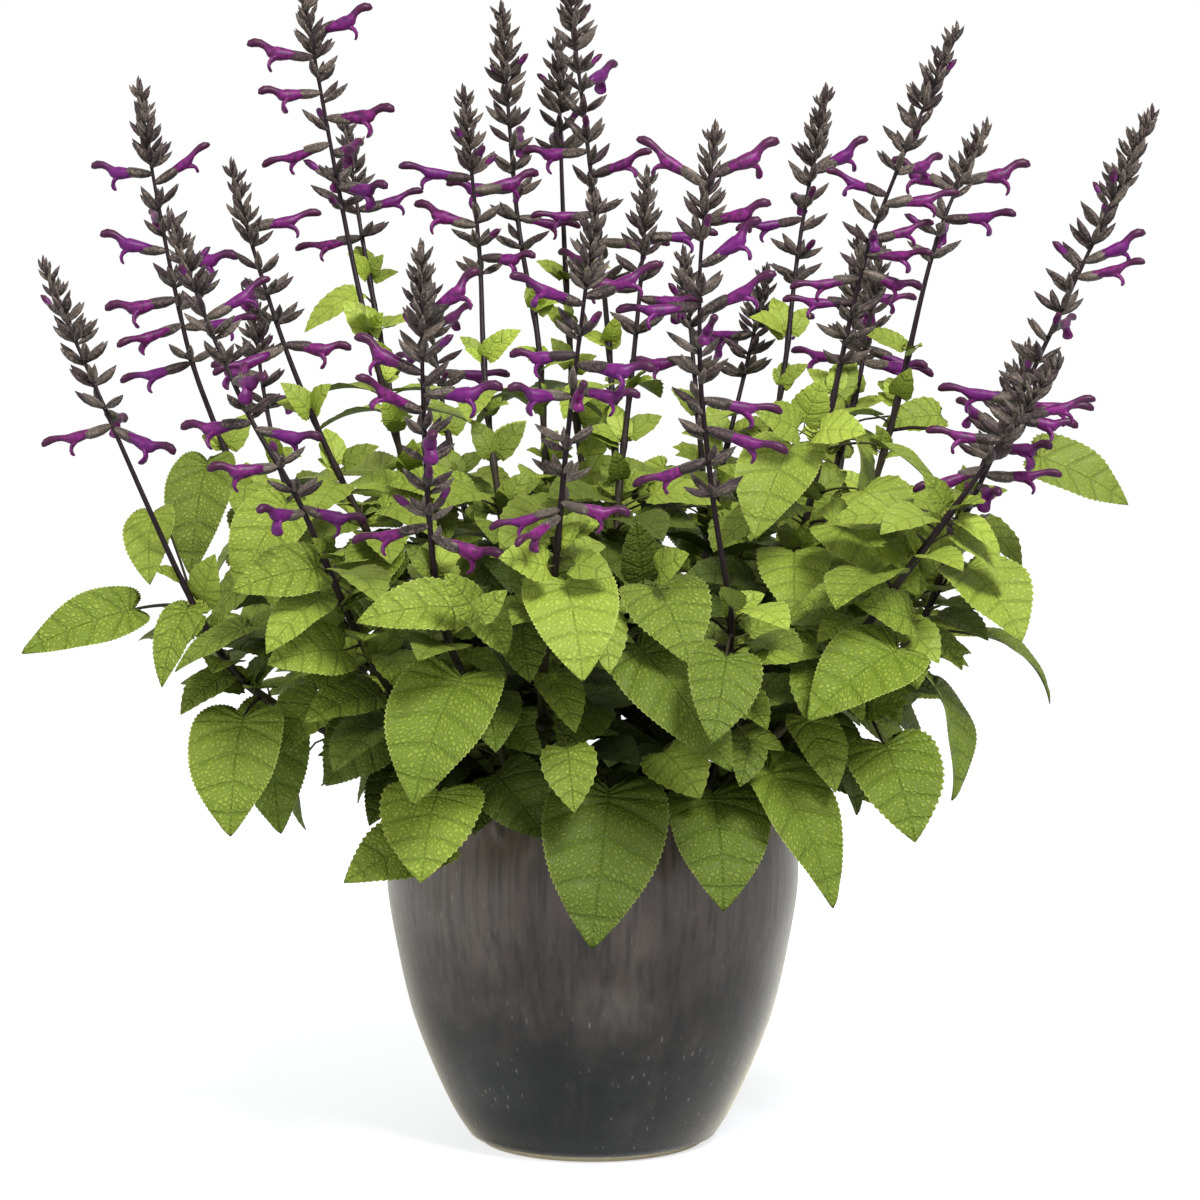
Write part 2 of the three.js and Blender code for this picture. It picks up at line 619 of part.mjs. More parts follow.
function bladePoints(leaf) {
  const { frame, width } = leaf;
  const rows = Math.ceil(frame.reach * (1 + LOBE_SHARE) / SAMPLE_STEP);
  const points = [];
  for (let r = 0; r <= rows; r += 1) {
    const y = mix(-LOBE_SHARE, 1, r / rows);
    const half = halfWidth(y) * width;
    const across = Math.max(1, Math.ceil(half / SAMPLE_STEP));
    for (let k = -across; k <= across; k += 1) {
      points.push([...onBlade(frame, half * k / across, y * frame.reach), BLADE_REACH]);
    }
  }
  return points;
}

// The radius of a turned profile at a height within it.
function radiusAt(profile, z) {
  let i = 0;
  while (i + 2 < profile.length && profile[i + 1][1] < z) i += 1;
  const [[r0, z0], [r1, z1]] = [profile[i], profile[i + 1]];
  return mix(r0, r1, (z - z0) / (z1 - z0));
}

// True where a point is in the pot's wall or the soil, or nearer to them than the clearance.
function inPot(p) {
  if (p[2] > RIM_HEIGHT + POT_CLEARANCE) return false;
  const radius = Math.hypot(p[0], p[1]);
  const outer = radiusAt(POT_PROFILE, Math.min(p[2], RIM_HEIGHT)) + POT_CLEARANCE;
  const inner = INNER_PROFILE[INNER_PROFILE.length - 1][0] - POT_CLEARANCE;
  return radius < outer && (radius > inner || p[2] < SOIL_LEVEL + POT_CLEARANCE);
}

const leafIsFree = (leaf) => {
  const blade = bladePoints(leaf);
  const stalk = leaf.petiole.slice(1).flatMap((p, i) => rod(leaf.petiole[i], p, PETIOLE_RADIUS));
  if (blade.some(inPot) || stalk.some(inPot)) return false;
  if (crowded(blade, leaf.stem, ['stem', 'stalk'])) return false;
  if (crowded(stalk, leaf.stem, ['stem', 'stalk', 'blade'])) return false;
  leaf.parts = { blade, stalk };
  return true;
};

function growLeaf(stem, leaf) {
  keep(leaf.parts.blade, stem.number, 'blade');
  keep(leaf.parts.stalk, stem.number, 'stalk');
  stem.leaves.push(leaf);
}

// ---------------------------------------------------------------- growing the plant

// The points along a stretch of a curved path.
function stretch(path, from, to, steps) {
  return Array.from({ length: steps + 1 }, (_, i) => along(path, mix(from, to, i / steps)));
}

// A stem's axis is made of straight stretches: low is its leafy part, high its spike.
// The first stretch runs straight out of the soil to the path's second point, clear of the rim.
const stems = STEMS.map((row, i) => {
  const cut = atHeight(row.path, row.leafTop + SPIKE_FOOT);
  const low = [row.path[0], ...stretch(row.path, 1 / (row.path.length - 1), cut, STEM_STEPS - 1)];
  const high = stretch(row.path, cut, 1, SPIKE_STEPS);
  const tip = high[SPIKE_STEPS];
  const stem = { ...row, number: i + 1, low, high, tip, leaves: [], blooms: [], calyces: [] };
  stem.spikeLength = length(sub(tip, atLevel(high, row.bloomFrom)));
  return stem;
});

// The point of a rising chain of straight stretches at a height.
function atLevel(chain, z) {
  let i = 0;
  while (i + 2 < chain.length && chain[i + 1][2] < z) i += 1;
  const [a, b] = [chain[i], chain[i + 1]];
  return add(a, sub(b, a), (z - a[2]) / (b[2] - a[2]));
}

// The point of a spike at a distance below its tip.
function belowTip(stem, distance) {
  const level = mix(stem.tip[2], stem.bloomFrom, distance / stem.spikeLength);
  return atLevel(stem.high, level);
}

for (const stem of stems) {
  const chain = [...stem.low, ...stem.high.slice(1)];
  for (let i = 0; i + 1 < chain.length; i += 1) {
    const radius = mix(STEM_BASE_RADIUS, SPIKE_TIP_RADIUS, i / chain.length);
    keep(rod(chain[i], chain[i + 1], radius), stem.number, 'stem');
  }
}

// A direction from a compass angle and an elevation, in degrees.
function heading(azimuth, elevation) {
  const [a, e] = [radians(azimuth), radians(elevation)];
  return [Math.cos(a) * Math.cos(e), Math.sin(a) * Math.cos(e), Math.sin(e)];
}

// An open flower's points: root, swollen calyx, throat, tip of the hooded upper lip, tip of the lower lip.
function flowerPoints(stem, distance, azimuth, rise) {
  const root = belowTip(stem, distance);
  const out = heading(azimuth, rise);
  const hood = heading(azimuth, rise + HOOD_RISE);
  const drop = heading(azimuth, rise - LIP_DROP);
  const throat = add(root, out, FLOWER_THROAT);
  return {
    root,
    calyx: add(root, out, FLOWER_CALYX.middle),
    throat,
    hood: add(throat, hood, FLOWER_LENGTH - FLOWER_THROAT),
    lip: add(throat, drop, LOWER_LIP),
  };
}

const flowerRods = (f) => [
  ...rod(add(f.root, sub(f.calyx, f.root), CLEAR_FROM), f.throat, FLOWER_RADIUS),
  ...rod(f.throat, f.hood, LIP_REACH), ...rod(f.throat, f.lip, LIP_REACH),
];

for (const stem of stems) {
  for (const [distance, azimuth] of stem.flowers) {
    const level = mix(FLOWER_RISE.top, FLOWER_RISE.low, distance / stem.spikeLength);
    const rise = level + FLOWER_RISE.stray * mix(-1, 1, random());
    const trials = TURN_TRIES.map((turn) => flowerPoints(stem, distance, azimuth + turn, rise));
    const flower = trials.find((f) => !crowded(flowerRods(f), stem.number, ['stem', 'flower']));
    if (flower) {
      keep(flowerRods(flower), stem.number, 'flower');
      stem.blooms.push(flower);
    }
  }
}

// Calyces grow from the flats of the square stem in turn, rising more steeply towards the tip.
for (const stem of stems) {
  const count = Math.max(FEWEST_CALYCES, Math.round(stem.spikeLength / CALYX_SPACING));
  for (let i = 0; i < count; i += 1) {
    const share = (i + 0.5) / count;
    const azimuth = CALYX_FLATS[i % 4] + CALYX_STRAY * mix(-1, 1, random());
    const distance = mix(stem.spikeLength, TOP_CALYX.belowTip, 1 - (1 - share) ** CALYX_CROWDING);
    const root = belowTip(stem, distance);
    const size = mix(1, TOP_CALYX.size, share ** 3);
    const rise = mix(LOW_CALYX_RISE, TOP_CALYX.rise, share);
    const trials = [0, 90, -90].map((turn) => {
      const out = heading(azimuth + turn, rise);
      const [middle, tip] = [CALYX_MIDDLE, CALYX_LENGTH].map((distance) => add(root, out, distance * size));
      return { root, middle, tip, radius: CALYX_RADIUS * size };
    });
    const calyx = trials.find((c) => !crowded(rod(c.middle, c.tip, c.radius), stem.number, ['stem']));
    if (calyx) {
      keep(rod(calyx.middle, calyx.tip, calyx.radius), stem.number, 'calyx');
      stem.calyces.push(calyx);
    }
  }
}

// The point of a leafy stem that a petiole to the blade's base grows from.
function petioleTo(stem, base) {
  const target = add(base, [0, 0, -PETIOLE_LIFT]);
  let best = null;
  for (let i = 0; i <= PETIOLE_STEPS; i += 1) {
    const point = atLevel(stem.low, mix(LOWEST_PETIOLE, stem.leafTop, i / PETIOLE_STEPS));
    const distance = length(sub(point, target));
    if (!best || distance < best.distance) best = { point, distance };
  }
  return [best.point, base];
}

for (const row of PLACED_LEAVES) placeLeaf(row);

// A leaf of the table, moved a little or made smaller where it has no room.
function placeLeaf([number, base, tip, width, bend, face]) {
  const stem = stems[number - 1];
  const look = [Math.sin(radians(face)), -Math.cos(radians(face)), PLACED_LOOK_UP];
  for (const shrink of SIZE_TRIES) {
    for (const shift of SHIFT_TRIES) {
      const from = add(base, shift);
      const to = add(from, sub(tip, base), shrink);
      const leaf = {
        stem: number,
        width: width * shrink,
        frame: bladeFrame(from, to, bend, look),
        petiole: petioleTo(stem, from),
        teeth: width > BROAD_LEAF ? 4 : 3,
      };
      if (leafIsFree(leaf)) {
        growLeaf(stem, leaf);
        return;
      }
    }
  }
}

for (const stem of stems) {
  const quarter = PAIR_TURN_SPREAD * mix(-1, 1, random());
  let level = 0;
  for (let z = PAIR_FROM + PAIR_START_SPREAD * random(); z < stem.leafTop + PAIR_MARGIN; z += PAIR_STEP) {
    const root = atLevel(stem.low, z);
    const high = (z - PAIR_FROM) / (PAIR_HIGH - PAIR_FROM);
    for (const opposite of [0, 180]) {
      const azimuth = quarter + 90 * level + opposite;
      const spread = 1 + PAIR_SIZE_SPREAD * mix(-1, 1, random());
      const blade = mix(PAIR_LENGTH_LOW, PAIR_LENGTH_HIGH, high) * spread;
      const droop = mix(...PAIR_DROOP, random());
      const leaf = pairLeaf(stem, root, azimuth, blade, droop, high);
      if (leaf) growLeaf(stem, leaf);
    }
    level += 1;
  }
}

// The first leaf of a pair's side that has room, over a few turns and sizes.
function pairLeaf(stem, root, azimuth, blade, droop, high) {
  for (const size of SIZE_TRIES) {
    for (const turn of TURN_TRIES) {
      const stalk = heading(azimuth + turn, STALK_RISE);
      const base = add(root, stalk, mix(STALK_LENGTH_LOW, STALK_LENGTH_HIGH, high));
      const tip = add(base, heading(azimuth + turn, droop), blade * size);
      const look = add(heading(azimuth + turn, 0), [0, 0, PAIR_LOOK_UP]);
      const leaf = {
        stem: stem.number,
        width: blade * size * PAIR_WIDTH_SHARE,
        frame: bladeFrame(base, tip, PAIR_BEND, look),
        petiole: [root, base],
        teeth: 3,
      };
      if (leafIsFree(leaf)) return leaf;
    }
  }
  return null;
}

// ---------------------------------------------------------------- the pot and the soil

function lathe(profile) {
  const geometry = new THREE.LatheGeometry(profile.map(([r, z]) => new THREE.Vector2(r, z)), POT_SIDES);
  geometry.rotateX(Math.PI / 2);
  return solidOf(geometry);
}

function potSolid() {
  const inner = [...INNER_PROFILE].reverse();
  let body = lathe([[0, 0], [FOOT_RADIUS, 0], ...POT_PROFILE, ...LIP, ...inner, [0, FLOOR]]);
  for (let i = 0; i < DRAIN_HOLES; i += 1) {
    const hole = new THREE.CylinderGeometry(DRAIN_RADIUS, DRAIN_RADIUS, 4 * FLOOR, DRAIN_SIDES);
    hole.rotateX(Math.PI / 2);
    const angle = 2 * Math.PI * i / DRAIN_HOLES;
    hole.translate(DRAIN_CIRCLE * Math.cos(angle), DRAIN_CIRCLE * Math.sin(angle), 0);
    body = body.subtract(solidOf(hole));
  }
  return body;
}

function soilSolid(stemHoles) {
  const wall = INNER_PROFILE.filter(([, z]) => z > FLOOR && z < SOIL_LEVEL).map(([r, z]) => [r - SEAT_GAP, z]);
  const foot = [INNER_PROFILE[0][0] - SEAT_GAP, FLOOR + SEAT_GAP];
  const edge = [radiusAt(INNER_PROFILE, SOIL_LEVEL) - SEAT_GAP, SOIL_LEVEL];
  let body = lathe([[0, FLOOR + SEAT_GAP], foot, ...wall, edge, [0, SOIL_LEVEL]]);
  for (const hole of stemHoles) body = body.subtract(hole);
  return body;
}

// ---------------------------------------------------------------- stems and spikes

function leafyStem(stem) {
  const radii = stem.low.map((_, i) => mix(STEM_BASE_RADIUS, STEM_TOP_RADIUS, i / STEM_STEPS));
  return wasm.Manifold.union([tube(stem.low, radii, 4, SQUARE_TURN), ...stem.leaves.map(leafSolid)]);
}

function stemHole(stem) {
  const foot = add(stem.low[0], [0, 0, -SEAT_GAP]);
  const radius = STEM_BASE_RADIUS + 2 * SEAT_GAP;
  return tube([foot, stem.low[1]], [radius, radius], 4, SQUARE_TURN);
}

function calyxSolid(calyx) {
  return tube([calyx.root, calyx.middle, calyx.tip], [0, calyx.radius, 0], 3);
}

// A bloom from a point at the root: three-sided calyx, four-sided throat, then the hood and the lower lip.
function flowerSolid(flower) {
  const out = unit(sub(flower.throat, flower.root));
  const side = unit(cross(out, [0, 0, 1]));
  const up = cross(side, out);
  const at = (centre, r, degrees) => add(
    add(centre, up, r * Math.cos(radians(degrees))), side, r * Math.sin(radians(degrees)));
  const points = [
    flower.root,
    ...[0, 120, 240].map((turn) => at(flower.calyx, FLOWER_CALYX.radius, turn)),
    ...[0, 90, 180, 270].map((turn) => at(flower.throat, FLOWER_RADIUS, turn)),
    flower.hood, flower.lip,
  ];
  const [top, right, low, left, hood, lip] = [4, 5, 6, 7, 8, 9];
  return solid(points, [
    [0, 2, 1], [0, 3, 2], [0, 1, 3],
    [1, 2, right], [1, right, top], [2, low, right], [2, 3, low], [3, left, low], [3, 1, left], [1, top, left],
    [top, right, hood], [right, low, lip], [low, left, lip], [left, top, hood],
    [right, left, hood], [left, right, lip],
  ]);
}

function flowerSpike(stem) {
  const points = [...stem.high];
  points[0] = add(points[0], unit(sub(points[1], points[0])), 2 * SEAT_GAP);
  const radii = points.map((_, i) => mix(STEM_TOP_RADIUS, SPIKE_TIP_RADIUS, i / SPIKE_STEPS));
  const axis = tube(points, radii, 4, SQUARE_TURN);
  return wasm.Manifold.union([axis, ...stem.calyces.map(calyxSolid), ...stem.blooms.map(flowerSolid)]);
}

// ---------------------------------------------------------------- the scene

const GLAZE = new THREE.MeshStandardMaterial({ color: 0x3a3b38, roughness: 0.25, metalness: 0 });
const EARTH = new THREE.MeshStandardMaterial({ color: 0x2b2018, roughness: 0.95, metalness: 0 });
const LEAF = new THREE.MeshStandardMaterial({ color: 0x7a9a35, roughness: 0.6, metalness: 0 });
const BLOOM = new THREE.MeshStandardMaterial({ color: 0x4a2352, roughness: 0.6, metalness: 0 });

function mesh(name, body, material) {
  const data = body.getMesh();
  const geometry = new THREE.BufferGeometry();
  geometry.setAttribute('position', new THREE.BufferAttribute(new Float32Array(data.vertProperties), 3));
  geometry.setIndex(new THREE.BufferAttribute(new Uint32Array(data.triVerts), 1));
  geometry.computeVertexNormals();
  const result = new THREE.Mesh(geometry, material);
  result.name = name;
  return result;
}

const salvia = new THREE.Group();
salvia.add(mesh('pot', potSolid(), GLAZE));
salvia.add(mesh('soil', soilSolid(stems.map(stemHole)), EARTH));
for (const stem of stems) {
  const number = String(stem.number).padStart(2, '0');
  salvia.add(mesh(`leafy_stem_${number}`, leafyStem(stem), LEAF));
  salvia.add(mesh(`flower_spike_${number}`, flowerSpike(stem), BLOOM));
}

export default salvia;
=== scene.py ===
# %% [markdown]
# # A potted salvia in bloom
#
# The real thing is a garden sage: twenty-six square stems that stand in the soil of a glazed pot, each with
# pairs of toothed heart leaves and a spike of dark calyces and violet flowers. The solid model gives every
# stem, leaf and flower its place, but with few faces. This lesson grows fine pieces in the same places.
# Blender could start from nothing, but loading the solid model first keeps every size honest.

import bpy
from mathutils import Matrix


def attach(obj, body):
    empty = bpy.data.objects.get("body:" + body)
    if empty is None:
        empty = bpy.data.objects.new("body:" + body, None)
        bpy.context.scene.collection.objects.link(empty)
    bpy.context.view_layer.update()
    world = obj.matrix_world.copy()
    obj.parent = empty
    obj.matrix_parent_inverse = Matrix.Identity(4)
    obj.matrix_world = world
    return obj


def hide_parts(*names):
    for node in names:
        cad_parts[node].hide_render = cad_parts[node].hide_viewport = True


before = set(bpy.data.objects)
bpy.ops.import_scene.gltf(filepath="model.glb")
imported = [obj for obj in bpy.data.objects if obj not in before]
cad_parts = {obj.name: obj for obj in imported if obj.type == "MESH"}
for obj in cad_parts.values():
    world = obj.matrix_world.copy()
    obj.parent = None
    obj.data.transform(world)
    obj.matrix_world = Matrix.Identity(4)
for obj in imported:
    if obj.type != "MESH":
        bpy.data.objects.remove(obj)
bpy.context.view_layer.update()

# %% Tools for this lesson
import math
from types import SimpleNamespace

import bpy
import numpy as np

scene = bpy.context.scene
MM = 0.001                 # the plant is laid out in millimetres, and Blender works in metres


# %% [markdown]
# ## The camera
#
# A plant is looked at from a little above its middle and from some distance, so that the near leaves don't
# swell. A short lens close by would swell them, so this one is long. Setting the camera first means that
# every later choice can be judged from the same place.

# %% Camera
CAMERA_PLACE = (0.0045, -2.6, 0.62)
CAMERA_DIP = 6.37          # degrees below level
CAMERA_LENS = 130.1        # millimetres
SENSOR_WIDTH = 36          # millimetres

lens = bpy.data.cameras.new("camera")
lens.lens = CAMERA_LENS
lens.sensor_width = SENSOR_WIDTH
camera = bpy.data.objects.new("camera", lens)
camera.location = CAMERA_PLACE
camera.rotation_euler = (math.radians(90 - CAMERA_DIP), 0, 0)
scene.collection.objects.link(camera)
scene.camera = camera
print("the camera looks", CAMERA_DIP, "degrees below level through a lens of", CAMERA_LENS, "mm")


# %% [markdown]
# ## Where everything grows
#
# A stem's route can be drawn as a curve by hand, or listed as the few points that it passes. The list is
# easier to keep in step with the solid model, so this is the same list: for each stem its points from the
# soil to the tip, the height of its top leaf pair, the height of its lowest whorl, and each open flower as
# its distance below the tip and its direction in degrees from +X.

# %% The stems
STEMS = [
    ([(-62, -12, 172), (-98, -28, 224), (-195, -60, 277), (-230, -70, 326), (-278, -60, 431),
      (-324, -40, 533)],
     332, 428, [(104, 180), (106, -15), (96, 80)]),
    ([(-45, -35, 172), (-80, -58, 225), (-133, -110, 316), (-167, -130, 402), (-202, -120, 458),
      (-245, -90, 563)],
     352, 384, [(66, 20), (106, -60), (132, 180), (136, 0), (160, 188), (186, 2), (190, -125)]),
    ([(-52, 22, 172), (-110, 40, 240), (-180, 55, 330), (-237, 60, 440), (-262, 70, 540),
      (-279, 80, 639)],
     400, 462, [(56, 178), (62, 5), (84, 100), (104, 182), (108, -8), (134, 186), (150, 205), (152, -5),
      (174, 175)]),
    ([(-30, 30, 172), (-75, 40, 250), (-130, 48, 350), (-176, 50, 447), (-205, 58, 530), (-221, 60, 590)],
     420, 472, [(40, 12), (84, 120), (114, 0), (116, 195)]),
    ([(-28, 62, 172), (-70, 75, 270), (-110, 85, 380), (-137, 90, 479), (-154, 110, 552),
      (-182, 120, 707)],
     470, 556, [(38, 8), (52, 180), (74, 200), (90, -12), (106, 182), (112, 70), (134, -40)]),
    ([(-50, 62, 172), (-80, 88, 262), (-116, 126, 380), (-132, 150, 466), (-148, 180, 545),
      (-159, 200, 617)],
     500, 536, [(34, 110), (60, 8), (78, 178)]),
    ([(-28, -55, 172), (-52, -100, 250), (-78, -140, 310), (-89, -165, 359), (-94, -190, 462),
      (-94, -205, 548)],
     346, 372, [(40, 5), (72, 180), (84, -4), (94, 205), (112, -80), (160, 182), (166, -15)]),
    ([(-10, 42, 172), (-35, 52, 270), (-58, 60, 385), (-68, 90, 470), (-70, 110, 531), (-81, 120, 635)],
     455, 516, [(54, 195), (62, 15), (84, 170), (104, -30)]),
    ([(-5, 78, 172), (-18, 110, 300), (-30, 135, 400), (-34, 150, 479), (-48, 180, 550), (-59, 210, 689)],
     480, 530, [(90, 80), (120, 180), (138, 8)]),
    ([(22, 88, 172), (8, 130, 300), (-10, 165, 420), (-18, 190, 528), (-23, 240, 669)],
     500, 590, [(58, 95)]),
    ([(8, 50, 172), (14, 70, 280), (15, 80, 371), (12, 105, 450), (4, 140, 540), (-18, 170, 721)],
     460, 506, [(84, 60), (126, 178), (142, -25), (166, 190), (184, 5), (200, 130)]),
    ([(18, 12, 172), (14, 40, 270), (14, 60, 366), (22, 80, 440), (30, 95, 520), (34, 100, 585)],
     436, 480, [(40, 0), (72, 182), (78, -12)]),
    ([(-8, -48, 172), (-22, -85, 235), (-30, -115, 284), (-20, -178, 372), (-14, -198, 440),
      (3, -205, 576)],
     368, 396, [(56, 2), (60, 178), (88, 184), (94, -20), (108, 0), (112, 180), (118, -75), (172, -2),
      (176, 181), (180, -128)]),
    ([(35, -50, 172), (60, -95, 250), (80, -150, 324), (66, -185, 417), (58, -190, 518), (69, -185, 613)],
     326, 402, [(26, 18), (32, 174), (52, 0), (76, -6), (98, 181), (102, -15), (120, -85), (150, 14),
      (166, -8), (184, 184)]),
    ([(45, 60, 172), (75, 85, 280), (100, 110, 380), (119, 130, 445), (130, 160, 535), (149, 180, 636)],
     465, 510, [(54, 0), (70, 100), (84, 190)]),
    ([(38, 84, 172), (62, 115, 290), (80, 140, 390), (95, 160, 450), (113, 200, 521)],
     400, 450, [(40, 4), (46, 150)]),
    ([(55, -5, 172), (85, -8, 250), (119, -10, 343), (147, 0, 462), (168, 10, 552), (218, 0, 671)],
     437, 464, [(90, 40), (104, 198), (110, 0), (128, -90), (132, 8), (142, -22), (152, 4), (156, 184),
      (172, 178)]),
    ([(70, 30, 172), (112, 42, 256), (165, 52, 370), (190, 55, 460), (212, 65, 551), (245, 95, 614)],
     460, 528, [(40, 0), (46, 175), (66, -30), (72, 85)]),
    ([(64, 16, 172), (98, 24, 260), (132, 52, 350), (163, 90, 445), (180, 120, 537)],
     430, 470, [(40, 90), (64, 6), (74, -20)]),
    ([(68, -30, 172), (100, -42, 234), (184, -65, 305), (208, -70, 364), (245, -60, 443),
      (331, -30, 622)],
     330, 372, [(98, 2), (108, -18), (140, 70), (186, 166), (190, 8), (198, -4), (218, -42), (232, 186),
      (236, -8), (244, -100)]),
    ([(56, -60, 172), (76, -76, 228), (118, -94, 270), (165, -105, 335), (220, -115, 412),
      (271, -100, 480)],
     380, 418, [(40, 0), (58, 180)]),
    ([(-24, 82, 172), (-32, 100, 228), (-58, 156, 292), (-85, 210, 370), (-102, 250, 450),
      (-112, 285, 520)],
     400, 435, [(44, 60), (62, 130), (76, 10)]),
    ([(56, 70, 172), (62, 84, 228), (74, 148, 296), (72, 215, 380), (66, 260, 460), (60, 295, 530)],
     410, 445, [(42, 110), (60, 40), (78, 180)]),
    ([(76, 48, 172), (86, 60, 228), (126, 116, 286), (155, 180, 370), (168, 225, 450), (175, 260, 540)],
     410, 450, [(40, 20), (62, 80), (84, 150)]),
    ([(-78, 40, 172), (-92, 52, 228), (-140, 98, 276), (-185, 150, 350), (-210, 190, 430),
      (-222, 215, 510)],
     385, 425, [(38, 90), (60, 150), (74, 60)]),
    ([(92, 0, 172), (106, 8, 228), (156, 42, 270), (205, 75, 330), (245, 108, 405), (276, 135, 476)],
     360, 402, [(36, 60), (58, 120)]),
]
print(len(STEMS), "stems,", sum(len(row[3]) for row in STEMS), "open flowers")


# %% [markdown]
# ## Leaves that show
#
# The leaves that show most have places of their own: stem number, where the blade begins, its tip, its width,
# its bend from base to tip in degrees, and the way its upper face looks (0 is the front, 90 the right). All
# other leaves grow in opposite pairs by a rule further down.

# %% The leaves with a place of their own
PLACED_LEAVES = [
    (13, (10, -132, 235), (0, -176, 150), 72, 45, 0),
    (14, (70, -130, 230), (75, -170, 168), 60, 50, 10),
    (20, (92, -108, 238), (130, -136, 160), 55, 40, 40),
    (2, (-88, -136, 234), (-97, -176, 188), 60, 45, -10),
    (2, (-88, -122, 205), (-142, -146, 184), 46, 40, -20),
    (7, (-74, -160, 304), (-100, -200, 236), 64, 50, -15),
    (13, (-14, -160, 262), (-10, -186, 230), 32, 30, 0),
    (13, (-15, -180, 360), (-5, -222, 308), 54, 50, 5),
    (13, (5, -165, 340), (10, -190, 309), 26, 30, 10),
    (14, (36, -150, 354), (55, -190, 314), 50, 45, 10),
    (14, (26, -160, 322), (78, -205, 256), 52, 45, 0),
    (14, (75, -176, 320), (66, -212, 276), 42, 45, 10),
    (17, (118, -40, 426), (95, -80, 374), 50, 45, -15),
    (20, (176, -124, 316), (122, -166, 280), 52, 40, -15),
    (17, (145, -70, 380), (190, -112, 342), 50, 40, 20),
    (20, (218, -84, 358), (248, -114, 318), 54, 45, 30),
    (20, (230, -60, 315), (270, -62, 275), 34, 70, 80),
    (20, (200, -70, 288), (210, -92, 222), 54, 50, 75),
    (20, (170, -92, 256), (186, -126, 204), 56, 45, 10),
    (20, (130, -95, 270), (155, -112, 212), 40, 50, 50),
    (18, (268, 10, 416), (324, 14, 386), 38, 35, 20),
    (1, (-270, -60, 331), (-335, -72, 306), 38, 30, -20),
    (1, (-260, -40, 386), (-260, -66, 346), 32, 40, -20),
    (3, (-233, 20, 412), (-240, -20, 346), 42, 45, -10),
    (3, (-182, -20, 390), (-210, -52, 338), 44, 45, -10),
    (2, (-157, -125, 362), (-206, -140, 350), 36, 40, -10),
    (1, (-236, -80, 334), (-250, -102, 290), 26, 50, -20),
    (1, (-228, -82, 338), (-220, -96, 366), 24, 20, -10),
    (1, (-204, -80, 270), (-210, -112, 204), 58, 45, -15),
    (1, (-188, -50, 272), (-184, -66, 198), 50, 40, -20),
    (2, (-144, -120, 314), (-186, -140, 308), 40, 45, -15),
    (2, (-160, -85, 280), (-190, -100, 240), 46, 50, -20),
    (2, (-172, -60, 240), (-170, -72, 186), 42, 45, -80),
    (2, (-120, -90, 264), (-156, -102, 230), 50, 45, -20),
    (2, (-112, -118, 246), (-130, -132, 208), 40, 45, -30),
    (1, (-200, -95, 326), (-240, -110, 302), 26, 25, -50),
    (7, (-76, -176, 345), (-132, -190, 338), 34, 50, -15),
    (7, (-66, -186, 346), (-82, -200, 368), 20, 20, -10),
    (7, (-62, -188, 344), (-38, -198, 368), 24, 20, 10),
    (7, (-62, -190, 340), (-48, -206, 318), 24, 30, 10),
    (13, (-40, -150, 330), (-35, -172, 300), 30, 40, -10),
    (13, (0, -118, 282), (-18, -145, 258), 34, 40, 0),
    (7, (-60, -140, 275), (-28, -164, 257), 28, 40, 10),
    (14, (90, -132, 264), (84, -150, 240), 22, 40, 20),
    (13, (-26, -150, 395), (-52, -172, 378), 36, 40, -10),
    (13, (-26, -176, 370), (-52, -190, 376), 26, 30, -10),
    (13, (-16, -180, 370), (16, -196, 362), 32, 35, 10),
    (12, (30, -60, 350), (25, -75, 386), 26, 20, 0),
    (14, (38, -150, 354), (64, -172, 372), 34, 25, 10),
    (20, (176, -115, 332), (145, -138, 342), 30, 30, -10),
    (20, (180, -115, 326), (200, -132, 306), 28, 35, 20),
    (20, (162, -92, 276), (184, -105, 282), 20, 30, 10),
    (17, (120, -48, 437), (95, -62, 448), 26, 30, -10),
    (17, (126, -48, 440), (136, -55, 466), 24, 20, 10),
    (17, (134, -46, 436), (160, -62, 436), 26, 30, 20),
    (17, (172, -10, 424), (206, -30, 394), 34, 40, 70),
    (19, (214, 60, 436), (178, 50, 430), 26, 35, -20),
    (17, (160, -30, 400), (186, -55, 378), 40, 40, 20),
    (20, (206, -86, 378), (182, -96, 374), 30, 35, -10),
    (17, (160, -20, 425), (156, -36, 388), 30, 50, 80),
    (6, (-150, 152, 508), (-182, 138, 484), 20, 40, -20),
    (13, (-55, -128, 240), (-26, -152, 206), 44, 45, 0),
    (14, (42, -110, 256), (62, -128, 232), 40, 40, 10),
]
print(len(PLACED_LEAVES), "leaves have a place of their own")


# %% [markdown]
# ## Small helpers for points and curves
#
# Growing things means a lot of vector sums. NumPy does them on whole rows of points at once, which keeps the
# growth rule below quick. Blender's own vectors would do for a few points, but not for a hundred thousand.
# The draws come from a tiny generator of fixed seed, the same one that the solid model uses, so both models
# grow the same plant.

# %% Vectors, curves and fixed draws
SEED = 20261
DRAW_FACTOR = 16807        # a classic pair of numbers, which keeps the row of draws long and even
DRAW_LIMIT = 2147483647
HALVINGS = 30              # each one halves the range that a search by height has left
draw_state = SEED


def draw(low=0.0, high=1.0):
    """The next of a fixed row of random draws."""
    global draw_state
    draw_state = draw_state * DRAW_FACTOR % DRAW_LIMIT
    return low + (high - low) * draw_state / DRAW_LIMIT


def mix(a, b, t):
    return a + (b - a) * t


def place(x, y, z):
    return np.array((x, y, z), float)


def unit(v):
    return v / np.linalg.norm(v)


def heading(azimuth, elevation):
    """A direction from a compass angle and an elevation, in degrees."""
    a, e = math.radians(azimuth), math.radians(elevation)
    return place(math.cos(a) * math.cos(e), math.sin(a) * math.cos(e), math.sin(e))


